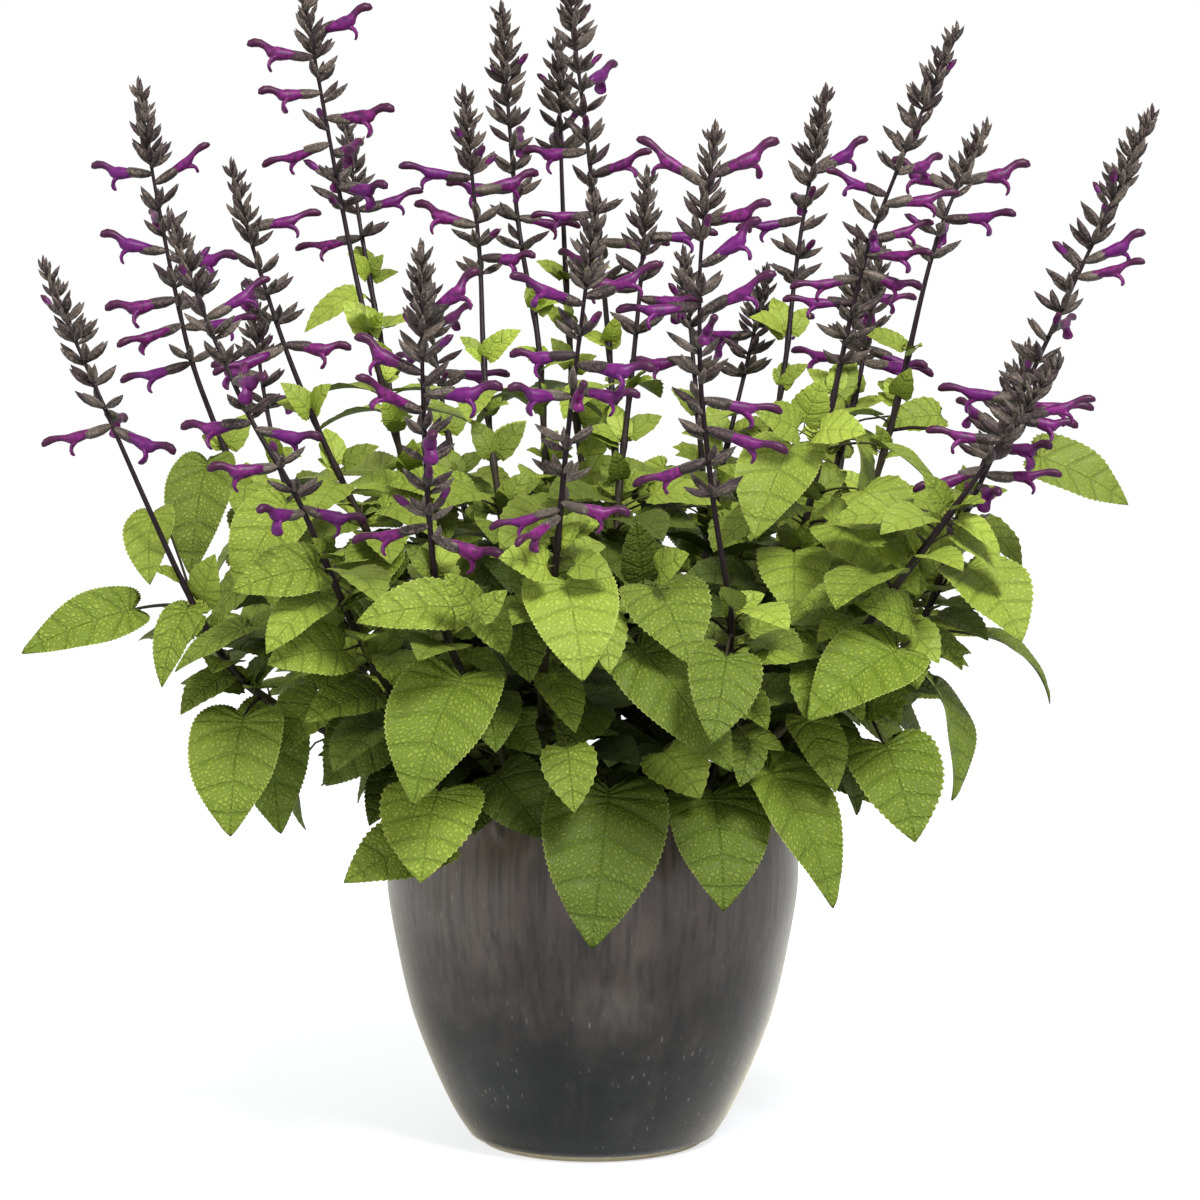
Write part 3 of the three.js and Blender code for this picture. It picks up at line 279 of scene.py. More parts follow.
def along(points, t):
    """The place at share t of a smooth curve through the points."""
    points = np.asarray(points, float)
    last = len(points) - 1
    span = min(int(t * last), last - 1)
    w = t * last - span
    p1, p2 = points[span], points[span + 1]
    p0 = points[span - 1] if span > 0 else 2 * p1 - p2
    p3 = points[span + 2] if span + 2 <= last else 2 * p2 - p1
    m1, m2, d = (p2 - p0) / 2, (p3 - p1) / 2, p2 - p1
    return p1 + m1 * w + (3 * d - 2 * m1 - m2) * w * w + (m1 + m2 - 2 * d) * w * w * w


def at_level(chain, z):
    """The point of a rising chain of straight stretches at a height."""
    i = 0
    while i + 2 < len(chain) and chain[i + 1][2] < z:
        i += 1
    a, b = chain[i], chain[i + 1]
    return a + (b - a) * (z - a[2]) / (b[2] - a[2])


def share_at_height(path, z):
    """The share of the way along a rising path at which it reaches a height."""
    low, high = 0.0, 1.0
    for _ in range(HALVINGS):
        middle = (low + high) / 2
        if along(path, middle)[2] < z:
            low = middle
        else:
            high = middle
    return (low + high) / 2


# %% [markdown]
# ## The stems' lines
#
# Each stem is a leafy part and a spike. Its line runs straight out of the soil, clear of the pot's rim, and
# then through a few more points. Everything that grows on the stem takes its root from this line.

# %% Stem lines
STEM_STEPS = 5
SPIKE_STEPS = 4
SPIKE_FOOT = 9             # the spike begins this far above the top leaf pair


def stretch(path, start, end, steps):
    return [along(path, mix(start, end, i / steps)) for i in range(steps + 1)]


def stem_from(number, path, leaf_top, bloom_from, flowers):
    cut = share_at_height(path, leaf_top + SPIKE_FOOT)
    low = [np.array(path[0], float), *stretch(path, 1 / (len(path) - 1), cut, STEM_STEPS - 1)]
    high = stretch(path, cut, 1, SPIKE_STEPS)
    stem = SimpleNamespace(number=number, leaf_top=leaf_top, bloom_from=bloom_from, flowers=flowers,
                           low=low, high=high, tip=high[-1], leaves=[], blooms=[], calyces=[])
    stem.spike_length = np.linalg.norm(stem.tip - at_level(high, bloom_from))
    return stem


def below_tip(stem, distance):
    """The point of a spike at a distance below its tip."""
    return at_level(stem.high, mix(stem.tip[2], stem.bloom_from, distance / stem.spike_length))


stems = [stem_from(i + 1, *row) for i, row in enumerate(STEMS)]
print("spikes are", round(min(s.spike_length for s in stems)), "to",
      round(max(s.spike_length for s in stems)), "mm long")


# %% [markdown]
# ## The clearance rule
#
# On a real plant no leaf grows through another. A physics simulation could push them apart, but it would not
# give the same plant twice. Here each thing that has grown is remembered as a row of points, each with the
# distance it keeps, and a new leaf that would come too near is turned, made smaller or left out.

# %% What has grown so far
POT_PROFILE = [(69, 3), (75.5, 5), (86, 22), (99.5, 52), (110.5, 83), (119, 121), (124.5, 157), (124, 190),
               (120.5, 213)]       # radius and height, up the outside
RIM_HEIGHT = 218
INNER_RIM = 111.5
SOIL_LEVEL = 196
POT_CLEARANCE = 5          # leaves keep this from the pot and the soil
ROD_REACH = 1.6            # a stem or flower keeps this beyond its radius
ROD_STEP = 3               # at most this far between the points of a rod
MOST_GROWN = 9000          # rows of points that can be remembered

grown = []
grown_box = np.empty((MOST_GROWN, 2, 3))
grown_owner = np.empty(MOST_GROWN, int)
grown_kind = np.empty(MOST_GROWN, "U6")


def box_of(points):
    return (points[:, :3] - points[:, 3:]).min(0), (points[:, :3] + points[:, 3:]).max(0)


def keep(points, owner, kind):
    n = len(grown)
    grown.append(points)
    grown_box[n] = box_of(points)
    grown_owner[n] = owner
    grown_kind[n] = kind


def crowded(points, owner, besides):
    """True where points come too near to anything but the named kinds of their own stem."""
    n = len(grown)
    low, high = box_of(points)
    meets = (grown_box[:n, 0] < high).all(1) & (grown_box[:n, 1] > low).all(1)
    own = (grown_owner[:n] == owner) & np.isin(grown_kind[:n], besides)
    for i in np.nonzero(meets & ~own)[0]:
        gap = points[:, None, :3] - grown[i][None, :, :3]
        reach = points[:, None, 3] + grown[i][None, :, 3]
        if ((gap * gap).sum(2) < reach * reach).any():
            return True
    return False


def rod(a, b, radius, step=ROD_STEP):
    """Points along a straight rod from a to b."""
    count = math.ceil(np.linalg.norm(b - a) / step)
    shares = np.arange(count + 1)[:, None] / count
    return np.hstack([a + (b - a) * shares, np.full((count + 1, 1), radius + ROD_REACH)])


def radius_at(profile, z):
    """The radius of a profile (radius, height) at a height."""
    radii, heights = np.array(profile, float).T
    i = np.searchsorted(heights[1:-1], z)
    return mix(radii[i], radii[i + 1], (z - heights[i]) / (heights[i + 1] - heights[i]))


def in_pot(points):
    """True if any point is in the pot's wall or the soil, or nearer to them than the clearance."""
    z = points[:, 2]
    radius = np.hypot(points[:, 0], points[:, 1])
    outer = radius_at(POT_PROFILE, np.minimum(z, RIM_HEIGHT)) + POT_CLEARANCE
    shut = (radius > INNER_RIM - POT_CLEARANCE) | (z < SOIL_LEVEL + POT_CLEARANCE)
    return ((z <= RIM_HEIGHT + POT_CLEARANCE) & (radius < outer) & shut).any()


print("a leaf stays", POT_CLEARANCE, "mm clear of the pot, whose rim is", RIM_HEIGHT, "mm up")


# %% [markdown]
# ## Open flowers and calyces
#
# Whorls of calyces sit on the square stem all the way up the spike. They could be scattered at random, but
# a sage sets them by rule, a quarter turn from one to the next. The open flowers go first, because they
# reach out furthest, and the calyces then take what room is left.

# %% Grow the stems, flowers and calyces
STEM_BASE_RADIUS = 3.2
STEM_TOP_RADIUS = 2.0
SPIKE_TIP_RADIUS = 0.9
CALYX_LENGTH = 17
CALYX_MIDDLE = 8.5         # where a calyx is thickest
CALYX_RADIUS = 3.2
CALYX_FLATS = (0, 180, 90, -90)
CALYX_STRAY = 16           # degrees either way of its flat
CALYX_SPACING = 15         # along the spike, for one calyx
CALYX_CROWDING = 1.12      # above 1, the whorls draw together towards the tip
FEWEST_CALYCES = 6
TOP_CALYX = SimpleNamespace(size=0.8, rise=48, below_tip=4)
LOW_CALYX_RISE = 22
FLOWER_LENGTH = 51
FLOWER_THROAT = 32
FLOWER_RADIUS = 3.1
FLOWER_CALYX_MIDDLE = 12
FLOWER_RISE = SimpleNamespace(top=34, low=-16, stray=18)     # less towards the lowest whorl
HOOD_RISE = 6              # the upper lip bends up from the throat
LIP_DROP = 58              # and the lower lip bends down
LOWER_LIP = 11
LIP_REACH = 2
CLEAR_FROM = 0.4           # of the way to a flower's calyx, where the clearance rule begins
TURN_TRIES = (0, 24, -24, 48, -48, 72, -72)
FLAT_TRIES = (0, 90, -90)

for stem in stems:
    chain = [*stem.low, *stem.high[1:]]
    for i in range(len(chain) - 1):
        keep(rod(chain[i], chain[i + 1], mix(STEM_BASE_RADIUS, SPIKE_TIP_RADIUS, i / len(chain))),
             stem.number, "stem")


def flower_at(root, azimuth, rise):
    out = heading(azimuth, rise)
    throat = root + out * FLOWER_THROAT
    hood = throat + heading(azimuth, rise + HOOD_RISE) * (FLOWER_LENGTH - FLOWER_THROAT)
    lip = throat + heading(azimuth, rise - LIP_DROP) * LOWER_LIP
    foot = root + out * FLOWER_CALYX_MIDDLE * CLEAR_FROM
    rods = np.vstack([rod(foot, throat, FLOWER_RADIUS), rod(throat, hood, LIP_REACH),
                      rod(throat, lip, LIP_REACH)])
    return SimpleNamespace(root=root, out=out, rods=rods)


def first_free(trials, points_of, owner, besides):
    return next((t for t in trials if not crowded(points_of(t), owner, besides)), None)


for stem in stems:
    for distance, azimuth in stem.flowers:
        level = mix(FLOWER_RISE.top, FLOWER_RISE.low, distance / stem.spike_length)
        rise = level + FLOWER_RISE.stray * draw(-1, 1)
        trials = (flower_at(below_tip(stem, distance), azimuth + turn, rise) for turn in TURN_TRIES)
        flower = first_free(trials, lambda f: f.rods, stem.number, ("stem", "flower"))
        if flower:
            keep(flower.rods, stem.number, "flower")
            stem.blooms.append(flower)


def calyx_at(root, azimuth, rise, size):
    out = heading(azimuth, rise)
    body = rod(root + out * CALYX_MIDDLE * size, root + out * CALYX_LENGTH * size, CALYX_RADIUS * size)
    return SimpleNamespace(root=root, out=out, azimuth=azimuth, rise=rise, size=size, body=body)


for stem in stems:
    count = max(FEWEST_CALYCES, math.floor(stem.spike_length / CALYX_SPACING + 0.5))
    for i in range(count):
        share = (i + 0.5) / count
        azimuth = CALYX_FLATS[i % 4] + CALYX_STRAY * draw(-1, 1)
        distance = mix(stem.spike_length, TOP_CALYX.below_tip, 1 - (1 - share) ** CALYX_CROWDING)
        root = below_tip(stem, distance)
        size = mix(1, TOP_CALYX.size, share ** 3)
        rise = mix(LOW_CALYX_RISE, TOP_CALYX.rise, share)
        trials = (calyx_at(root, azimuth + turn, rise, size) for turn in FLAT_TRIES)
        calyx = first_free(trials, lambda c: c.body, stem.number, ("stem",))
        if calyx:
            keep(calyx.body, stem.number, "calyx")
            stem.calyces.append(calyx)

print(sum(len(s.blooms) for s in stems), "flowers and", sum(len(s.calyces) for s in stems), "calyces grown")


# %% [markdown]
# ## Where the leaves sit
#
# A sage leaf is a heart on a stalk, folded a little along its midrib and bent down towards its tip. One frame
# for each leaf says all that: where it begins, which way is ahead, which way is up, and how far it bends.
# Bending a flat shape with numbers like these is simpler than modelling hundreds of leaves by hand.

# %% A leaf's frame and the room that it takes
FOLD = 0.2                 # rise of each half blade towards its edge
NOTCH = 0.06               # of the leaf's reach, that the blade runs back beside its stalk
HEART = np.array([(0.00, 0.00), (0.17, -0.085), (0.34, -0.06), (0.46, 0.07), (0.50, 0.24), (0.475, 0.42),
                  (0.39, 0.60), (0.25, 0.77), (0.11, 0.91), (0.00, 1.00)])
WIDEST = 3                 # from this point of the heart on, the outline runs towards the tip
SAMPLE_STEP = 4.5          # between the points that stand for a blade
BLADE_REACH = 3.8          # the room that each of them keeps
PETIOLE_RADIUS = 1.1


def leaf_at(base, tip, width, bend_degrees, look, root):
    """A leaf's frame from its ends, its width, its bend and the way that its upper face looks."""
    bend = math.radians(bend_degrees)
    chord = unit(tip - base)
    side = unit(np.cross(chord, look))
    normal = np.cross(side, chord)
    return SimpleNamespace(
        base=base, root=root, side=side, bend=bend, width=width,
        reach=np.linalg.norm(tip - base) * (bend / 2) / math.sin(bend / 2),
        ahead=chord * math.cos(bend / 2) + normal * math.sin(bend / 2),
        up=normal * math.cos(bend / 2) - chord * math.sin(bend / 2))


def blade_points(leaf, room=BLADE_REACH):
    """Points all over a blade, for the clearance rule, each with the room that it keeps."""
    rows = math.ceil(leaf.reach * (1 + NOTCH) / SAMPLE_STEP)
    xs, ys = [], []
    for share in np.linspace(-NOTCH, 1, rows + 1):
        half = np.interp(share, HEART[WIDEST:, 1], HEART[WIDEST:, 0]) * leaf.width
        across = max(1, math.ceil(half / SAMPLE_STEP))
        xs.append(half * np.arange(-across, across + 1) / across)
        ys.append(np.full(2 * across + 1, share))
    x, angle = np.concatenate(xs), leaf.bend * np.concatenate(ys)
    radius = leaf.reach / leaf.bend
    lift = radius + FOLD * np.abs(x)
    points = (leaf.base + np.outer(x, leaf.side) + np.outer(lift * np.sin(angle), leaf.ahead)
              + np.outer(lift * np.cos(angle) - radius, leaf.up))
    return np.hstack([points, np.full((len(points), 1), room)])


def grow_leaf(stem, trials, kind="blade", room=BLADE_REACH):
    """Keep the first of the trial leaves that has room, if there is one."""
    besides = ("stem", "stalk", "young") if kind == "young" else ("stem", "stalk")
    for leaf in trials:
        blade = blade_points(leaf, room)
        if in_pot(blade) or crowded(blade, stem.number, besides):
            continue
        stalk = rod(leaf.root, leaf.base, PETIOLE_RADIUS)
        if in_pot(stalk) or crowded(stalk, stem.number, ("stem", "stalk", "blade", "young")):
            continue
        keep(blade, stem.number, kind)
        keep(stalk, stem.number, "stalk")
        leaf.kind = kind
        stem.leaves.append(leaf)
        return


print("a leaf's outline has", 2 * len(HEART) - 2, "points")


# %% [markdown]
# A placed leaf that has no room is moved a little or made smaller until it has, or else left out. The pairs
# of the other leaves grow at even steps up each stem, a quarter turn from pair to pair, as on any sage. They
# could be placed by hand too, but the rule is shorter and fills the far side as thickly as the near one.

# %% Grow the leaves of the solid model
PLACED_LOOK_UP = 0.62      # how far the placed leaves' upper faces turn up from level
SHIFTS = [(0, 0, 0), (0, -7, 0), (0, 7, 0), (0, -14, 0), (0, 14, 0), (0, -6, 7), (0, 6, -7), (7, -4, 0),
          (-7, -4, 0), (0, -21, 0), (0, 21, 0), (0, -12, 10), (8, -10, 8), (-8, -10, 8), (0, 28, 0)]
SIZE_TRIES = (1, 0.8, 0.64)
LOWEST_PETIOLE = 206
PETIOLE_TRIES = 41         # heights that are tried for a placed leaf's root
PETIOLE_RISE = (0, 0, 10)  # from the stem up to the blade, at best
PAIR_FROM = 236
PAIR_STEP = 96
PAIR_HIGH = 440
PAIR_LENGTH_LOW = 74
PAIR_LENGTH_HIGH = 44
PAIR_WIDTH_SHARE = 0.74
PAIR_DROOP = (-8, -38)     # degrees
PAIR_BEND = 45             # degrees
PAIR_LOOK_UP = (0, 0, 1.6)
STALK_RISE = 30            # degrees above level
STALK_LENGTH_LOW = 30
STALK_LENGTH_HIGH = 12


def petiole_root(stem, base):
    """The point of a leafy stem that a petiole to the blade's base grows from."""
    points = [at_level(stem.low, z) for z in np.linspace(LOWEST_PETIOLE, stem.leaf_top, PETIOLE_TRIES)]
    return min(points, key=lambda p: np.linalg.norm(p - base + PETIOLE_RISE))


def placed_trials(stem, base, tip, width, bend, face):
    look = place(math.sin(math.radians(face)), -math.cos(math.radians(face)), PLACED_LOOK_UP)
    for shrink in SIZE_TRIES:
        for shift in SHIFTS:
            start = place(*base) + shift
            end = start + (place(*tip) - base) * shrink
            yield leaf_at(start, end, width * shrink, bend, look, petiole_root(stem, start))


def pair_trials(root, azimuth, blade, droop, low):
    for size in SIZE_TRIES:
        for turn in TURN_TRIES:
            stalk = mix(STALK_LENGTH_LOW, STALK_LENGTH_HIGH, low)
            base = root + heading(azimuth + turn, STALK_RISE) * stalk
            tip = base + heading(azimuth + turn, droop) * blade * size
            look = heading(azimuth + turn, 0) + PAIR_LOOK_UP
            yield leaf_at(base, tip, blade * size * PAIR_WIDTH_SHARE, PAIR_BEND, look, root)


for number, *row in PLACED_LEAVES:
    grow_leaf(stems[number - 1], placed_trials(stems[number - 1], *row))

for stem in stems:
    quarter = draw(-20, 20)
    level, z = 0, PAIR_FROM + draw(0, 20)
    while z < stem.leaf_top + 2:
        low = (z - PAIR_FROM) / (PAIR_HIGH - PAIR_FROM)
        for opposite in (0, 180):
            blade = mix(PAIR_LENGTH_LOW, PAIR_LENGTH_HIGH, low) * draw(0.9, 1.1)
            droop = draw(*PAIR_DROOP)
            azimuth = quarter + 90 * level + opposite
            grow_leaf(stem, pair_trials(at_level(stem.low, z), azimuth, blade, droop, low))
        level, z = level + 1, z + PAIR_STEP

print(sum(len(s.leaves) for s in stems), "leaves shared with the solid model")


# %% [markdown]
# The solid model leaves out the plant's small leaves. Here they fill the gaps: middling leaves all along the
# lower stems and tufts of young ones in the axils. Points scattered on a surface would ignore the stems, so
# every small leaf grows from a stem's own line. A fixed seed keeps them the same on every run, and the
# clearance rule tests points on each blade to keep it apart from the others.

# %% Grow the small leaves
FILLER_FROM = 212
FILLER_STEP = 9
FILLER_ROOM = 1.9          # the room that each point of a small blade keeps
FILLERS = 3                # at each step
FILLER_ABOVE = 6           # and up to this far above the top leaf pair
FILLER_STRAY = 5           # up or down the stem
FILLER_LENGTH_LOW = 58
FILLER_LENGTH_HIGH = 40
FILLER_VARIETY = (0.75, 1.15)
FILLER_STALK = (0.25, 0.6)            # of the blade's length
FILLER_LIFT = (-55, 8)                # degrees
FILLER_WIDTH_SHARE = 0.68
FILLER_BEND = 40                      # degrees
FILLER_SIZES = (1, 0.75)
YOUNG_LENGTH = (12, 26)
YOUNG_STALK = 0.25
YOUNG_LIFT = (5, 60)                  # degrees
STALK_LIFT = SimpleNamespace(least=10, more=15)       # a stalk rises more steeply than its blade
LIGHTWARD = place(0.1, -0.6, 1.0)     # small leaves turn their faces this way,
OUTWARD = 0.5              # and this much away from their stem
THIN_FROM = 390            # above this the small leaves are fewer
TUFT_STEP = 30
TUFT_FROM = 14             # above the top leaf pair
TUFT_DOWN_TO = 250
TUFT_STRAY = 4             # up or down the stem
TUFT_LEAVES = SimpleNamespace(low=6, high=4)
TURN_STEP = 45             # degrees between the directions that are tried

chance = np.random.default_rng(SEED)


def filler_trials(root, high, young):
    azimuth = chance.uniform(0, 360)
    if young:
        blade = chance.uniform(*YOUNG_LENGTH)
        stalk = blade * YOUNG_STALK
        lift = chance.uniform(*YOUNG_LIFT)
    else:
        blade = mix(FILLER_LENGTH_LOW, FILLER_LENGTH_HIGH, high) * chance.uniform(*FILLER_VARIETY)
        stalk = blade * chance.uniform(*FILLER_STALK)
        lift = chance.uniform(*FILLER_LIFT)
    stalk_lift = max(lift, STALK_LIFT.least) + STALK_LIFT.more
    for size in FILLER_SIZES:
        for turn in range(0, 360, TURN_STEP):
            base = root + heading(azimuth + turn, stalk_lift) * stalk * size
            tip = base + heading(azimuth + turn, lift) * blade * size
            look = heading(azimuth + turn, 0) * OUTWARD + LIGHTWARD
            yield leaf_at(base, tip, blade * size * FILLER_WIDTH_SHARE, FILLER_BEND, look, root)


for stem in stems:
    for z in np.arange(FILLER_FROM, stem.leaf_top + FILLER_ABOVE, FILLER_STEP):
        high = (z - FILLER_FROM) / (stem.leaf_top - FILLER_FROM)
        for _ in range(FILLERS if z < THIN_FROM else 0):
            root = at_level(stem.low, z + chance.uniform(-FILLER_STRAY, FILLER_STRAY))
            grow_leaf(stem, filler_trials(root, high, False), room=FILLER_ROOM)
for stem in stems:
    for z in np.arange(stem.leaf_top + TUFT_FROM, TUFT_DOWN_TO, -TUFT_STEP):
        for _ in range(TUFT_LEAVES.low if z < THIN_FROM else TUFT_LEAVES.high):
            root = at_level(stem.low + stem.high[1:], z + chance.uniform(-TUFT_STRAY, TUFT_STRAY))
            grow_leaf(stem, filler_trials(root, 1, True), "young", FILLER_ROOM)

print(sum(len(s.leaves) for s in stems), "leaves in all, of which",
      sum(leaf.kind == "young" for s in stems for leaf in s.leaves), "are young")


# %% [markdown]
# ## Tools for node trees
#
# Geometry Nodes and shader nodes are both trees of nodes. Linking them by hand in a script takes many lines,
# so two helpers do it here: one adds a node and feeds it, and one lets sockets be added and multiplied like
# numbers.

# %% Node helpers
def add_node(tree, kind, inputs=(), **settings):
    """Add a node, set its options and feed its inputs. A Field is linked, anything else is a constant."""
    node = tree.nodes.new(kind)
    for key, value in settings.items():
        setattr(node, key, value)
    for key, value in dict(inputs).items():
        if isinstance(value, Field):
            tree.links.new(value.socket, node.inputs[key])
        else:
            node.inputs[key].default_value = value
    return node


class Field:
    """A node's output that can be used in sums."""

    def __init__(self, node, output=0):
        self.socket = node.outputs[output]
        self.tree = node.id_data

    def maths(self, operation, other=0.0):
        """A sum on plain numbers."""
        return Field(add_node(self.tree, "ShaderNodeMath", {0: self, 1: other}, operation=operation))

    def combine(self, operation, other):
        """A sum on plain numbers or on vectors, whichever this value is."""
        if self.socket.type != "VECTOR":
            return self.maths(operation, other)
        inputs = {0: self, 1: other}
        if operation == "MULTIPLY":
            operation = "SCALE"
            inputs = {0: self, "Scale": other}
        return Field(add_node(self.tree, "ShaderNodeVectorMath", inputs, operation=operation))

    def __add__(self, other):
        return self.combine("ADD", other)

    def __sub__(self, other):
        return self.combine("SUBTRACT", other)

    def __mul__(self, other):
        return self.combine("MULTIPLY", other)

    def __truediv__(self, other):
        return self.combine("DIVIDE", other)

    def span(self, low, high, start=0.0, end=1.0):
        """This value's way from low to high, as a smooth step from start to end."""
        inputs = {0: self, 1: low, 2: high, 3: start, 4: end}
        return Field(add_node(self.tree, "ShaderNodeMapRange", inputs, interpolation_type="SMOOTHSTEP"))

    def part(self, axis):
        """One of a vector's three numbers."""
        return Field(add_node(self.tree, "ShaderNodeSeparateXYZ", {0: self}), axis)


# %% [markdown]
# ## Finishes
#
# Each material is made of noise and of values that the pieces carry, such as a leaf's age, so nothing is
# painted by hand and nothing stretches. First a few shader helpers, then one finish for each surface.

# %% Shader helpers
def paint(red, green, blue):
    """A colour as a paint chart gives it, from 0 to 255, in the light values that shaders need."""
    shares = [c / 255 for c in (red, green, blue)]
    return (*(((c + 0.055) / 1.055) ** 2.4 if c > 0.04 else c / 12.92 for c in shares), 1)


def new_finish(name, **constants):
    """A material with its main shader's constants set. The export needs constants on the shader itself."""
    material = bpy.data.materials.new(name)
    material.use_nodes = True
    shader = material.node_tree.nodes["Principled BSDF"]
    for key, value in constants.items():
        shader.inputs[key.replace("_", " ")].default_value = value
    return material, material.node_tree, shader


def carried(tree, name, vector=False):
    """A value that the mesh carries."""
    return Field(add_node(tree, "ShaderNodeAttribute", attribute_name=name), "Vector" if vector else "Fac")


def place_in_object(tree):
    return Field(add_node(tree, "ShaderNodeTexCoord"), "Object")


def noise(tree, vector, scale, detail=3.0, roughness=0.55):
    return Field(add_node(tree, "ShaderNodeTexNoise",
                          {"Vector": vector, "Scale": scale, "Detail": detail, "Roughness": roughness}))


def blend(tree, factor, a, b, how="MIX"):
    return Field(add_node(tree, "ShaderNodeMix", {0: factor, 6: a, 7: b},
                          data_type="RGBA", blend_type=how), 2)


def relief(tree, height, depth, strength=1.0):
    return Field(add_node(tree, "ShaderNodeBump",
                          {"Strength": strength, "Distance": depth, "Height": height}))


def feed(tree, shader, **sockets):
    for key, field in sockets.items():
        tree.links.new(field.socket, shader.inputs[key.replace("_", " ")])


# %% [markdown]
# A sage leaf is mid green, and lime while it is young. The blade is quilted: rows of small cells bulge
# between sunk veins, which shows as relief and in colour: painted shade darkens the lines between the cells
# and the veins, and a faint painted highlight lightens the middles of the cells. Leaves deep inside the plant
# get painted shade as well. The tooth tips and the underside are paler.
# A picture could be wrapped on every leaf, but it would repeat. Here the pattern follows where a point lies
# on its own leaf, which the leaf templates further down carry along.

# %% Leaf finish
CELLS_A_METRE = 370.0      # a cell of the quilting is under 3 mm wide
CELL_SLANT = 0.5           # rows of cells run forward as they run out
CELL_WARP = 0.0016         # metres, by which the rows stray
QUILT_DEPTH = 0.0006       # metres of relief
leaf_finish, tree, shader = new_finish("leaf", Roughness=0.5, Specular_IOR_Level=0.22)
share = carried(tree, "leaf_share", vector=True)
vein = carried(tree, "vein", vector=True)
side_vein = vein.part(0).maths("PINGPONG", 0.5).span(0.02, 0.13, 1, 0)
midrib = share.part(0).maths("ABSOLUTE").span(0.002, 0.016, 1, 0)
veins = side_vein.maths("MAXIMUM", midrib)
across, ahead = share.part(0) * carried(tree, "width"), share.part(1) * carried(tree, "reach")
slanted = ahead - across.maths("ABSOLUTE") * CELL_SLANT
cell_spot = Field(add_node(tree, "ShaderNodeCombineXYZ", {0: across, 1: slanted}))
warp = (noise(tree, cell_spot, 320.0, 2.0) - 0.5) * CELL_WARP
cells = Field(add_node(tree, "ShaderNodeTexVoronoi", {"Vector": cell_spot + warp, "Scale": CELLS_A_METRE},
                       feature="DISTANCE_TO_EDGE")).span(0.0, 0.34)
crinkle = noise(tree, cell_spot, 900.0, 2.0)
age = carried(tree, "age")
tone = carried(tree, "tone")
patches = noise(tree, place_in_object(tree), 45.0)
young_share = (age + (patches - 0.5) * 0.6).maths("MAXIMUM", 0.0)
colour = blend(tree, young_share, paint(122, 140, 46), paint(160, 178, 70))
crisp = age.span(0.1, 0.9, 1.0, 0.4)      # young leaves are smoother
# painted shade in the creases between the cells
colour = blend(tree, cells.span(0, 1, 0.5, 0.0) * crisp, colour, paint(66, 86, 10))
# a faint painted highlight on the middles of the cells
colour = blend(tree, cells.span(0.3, 1, 0.0, 0.06), colour, paint(160, 178, 92))
# painted shade along the sunk veins
colour = blend(tree, veins * 0.35, colour, paint(70, 90, 16))
margin = vein.part(1).span(0.965, 1.0)
colour = blend(tree, margin * 0.5, colour, paint(186, 196, 110))
colour = blend(tree, carried(tree, "under") * 0.6, colour, paint(146, 160, 84))
# random tone, and painted shade on the leaves deep inside the plant
colour = blend(tree, tone.span(-1, 3, 0.0, 0.9), colour, paint(30, 44, 8))
bulge = cells * 0.8 + crinkle * 0.25 - veins
feed(tree, shader, Base_Color=colour, Normal=relief(tree, bulge * crisp, QUILT_DEPTH))

# %% [markdown]
# Square stems and most leaf stalks are purple-black, and the stalks of young leaves are green. Two materials
# could do that, but one colour fades into the other, so one material mixes them by a value that each point
# of a stem carries.

# %% Stem finish
stem_finish, tree, shader = new_finish("stem", Roughness=0.45, Specular_IOR_Level=0.2)
streaks = noise(tree, place_in_object(tree), 260.0, 2.0)
colour = blend(tree, streaks, paint(12, 6, 10), paint(42, 26, 33))
colour = blend(tree, carried(tree, "green"), colour, paint(118, 122, 52))
feed(tree, shader, Base_Color=colour, Normal=relief(tree, streaks, 0.0004, 0.5))

# %% [markdown]
# A calyx is a dusty brown-black, ribbed along its length, with painted shade in the grooves between the ribs,
# and short pale hairs. Real hairs would be thousands of curves, and curves are lost in the export, so a fine
# noise in colour and relief stands for them.

# %% Calyx finish
calyx_finish, tree, shader = new_finish("calyx", Roughness=0.6, Specular_IOR_Level=0.3, Sheen_Weight=0.1,
                                        Sheen_Roughness=0.5)
down = noise(tree, place_in_object(tree), 700.0, 2.0)
clouds = noise(tree, place_in_object(tree), 110.0, 2.0)
rib = carried(tree, "rib")
colour = blend(tree, down.span(0.3, 0.75), paint(34, 26, 25), paint(126, 112, 102))
# painted shade in the grooves between the ribs
colour = blend(tree, rib.span(0.3, 1.0, 0.0, 0.75), colour, paint(24, 15, 16))
colour = blend(tree, clouds.span(0.46, 0.64, 0.0, 0.7), colour, paint(24, 16, 15))
colour = blend(tree, carried(tree, "tone").span(0, 1, 0.0, 0.6), colour, paint(48, 24, 38))
colour = blend(tree, carried(tree, "tone").span(-1, 0, 0.2, 0.0), colour, paint(150, 136, 122))
feed(tree, shader, Base_Color=colour, Normal=relief(tree, down, 0.0005, 0.8))

# %% [markdown]
# Petals are vivid violet, and the hood darkens to the colour of wine. Each flower could be painted by hand,
# but there are more than a hundred, so the colour follows how far along its flower a point lies.

# %% Petal finish
petal_finish, tree, shader = new_finish("petal", Roughness=0.45, Specular_IOR_Level=0.3, Sheen_Weight=0.08,
                                        Sheen_Roughness=0.4)
run = carried(tree, "run")
mottle = noise(tree, place_in_object(tree), 300.0, 2.0)
colour = blend(tree, mottle.span(0.3, 0.7), paint(66, 8, 60), paint(116, 22, 104))
colour = blend(tree, carried(tree, "tone").span(-1, 1, 0.0, 0.6), colour, paint(88, 12, 100))
colour = blend(tree, run.span(0.4, 0.75, 0.0, 0.85), colour, paint(56, 12, 42))
feed(tree, shader, Base_Color=colour, Normal=relief(tree, mottle, 0.0004, 0.5))
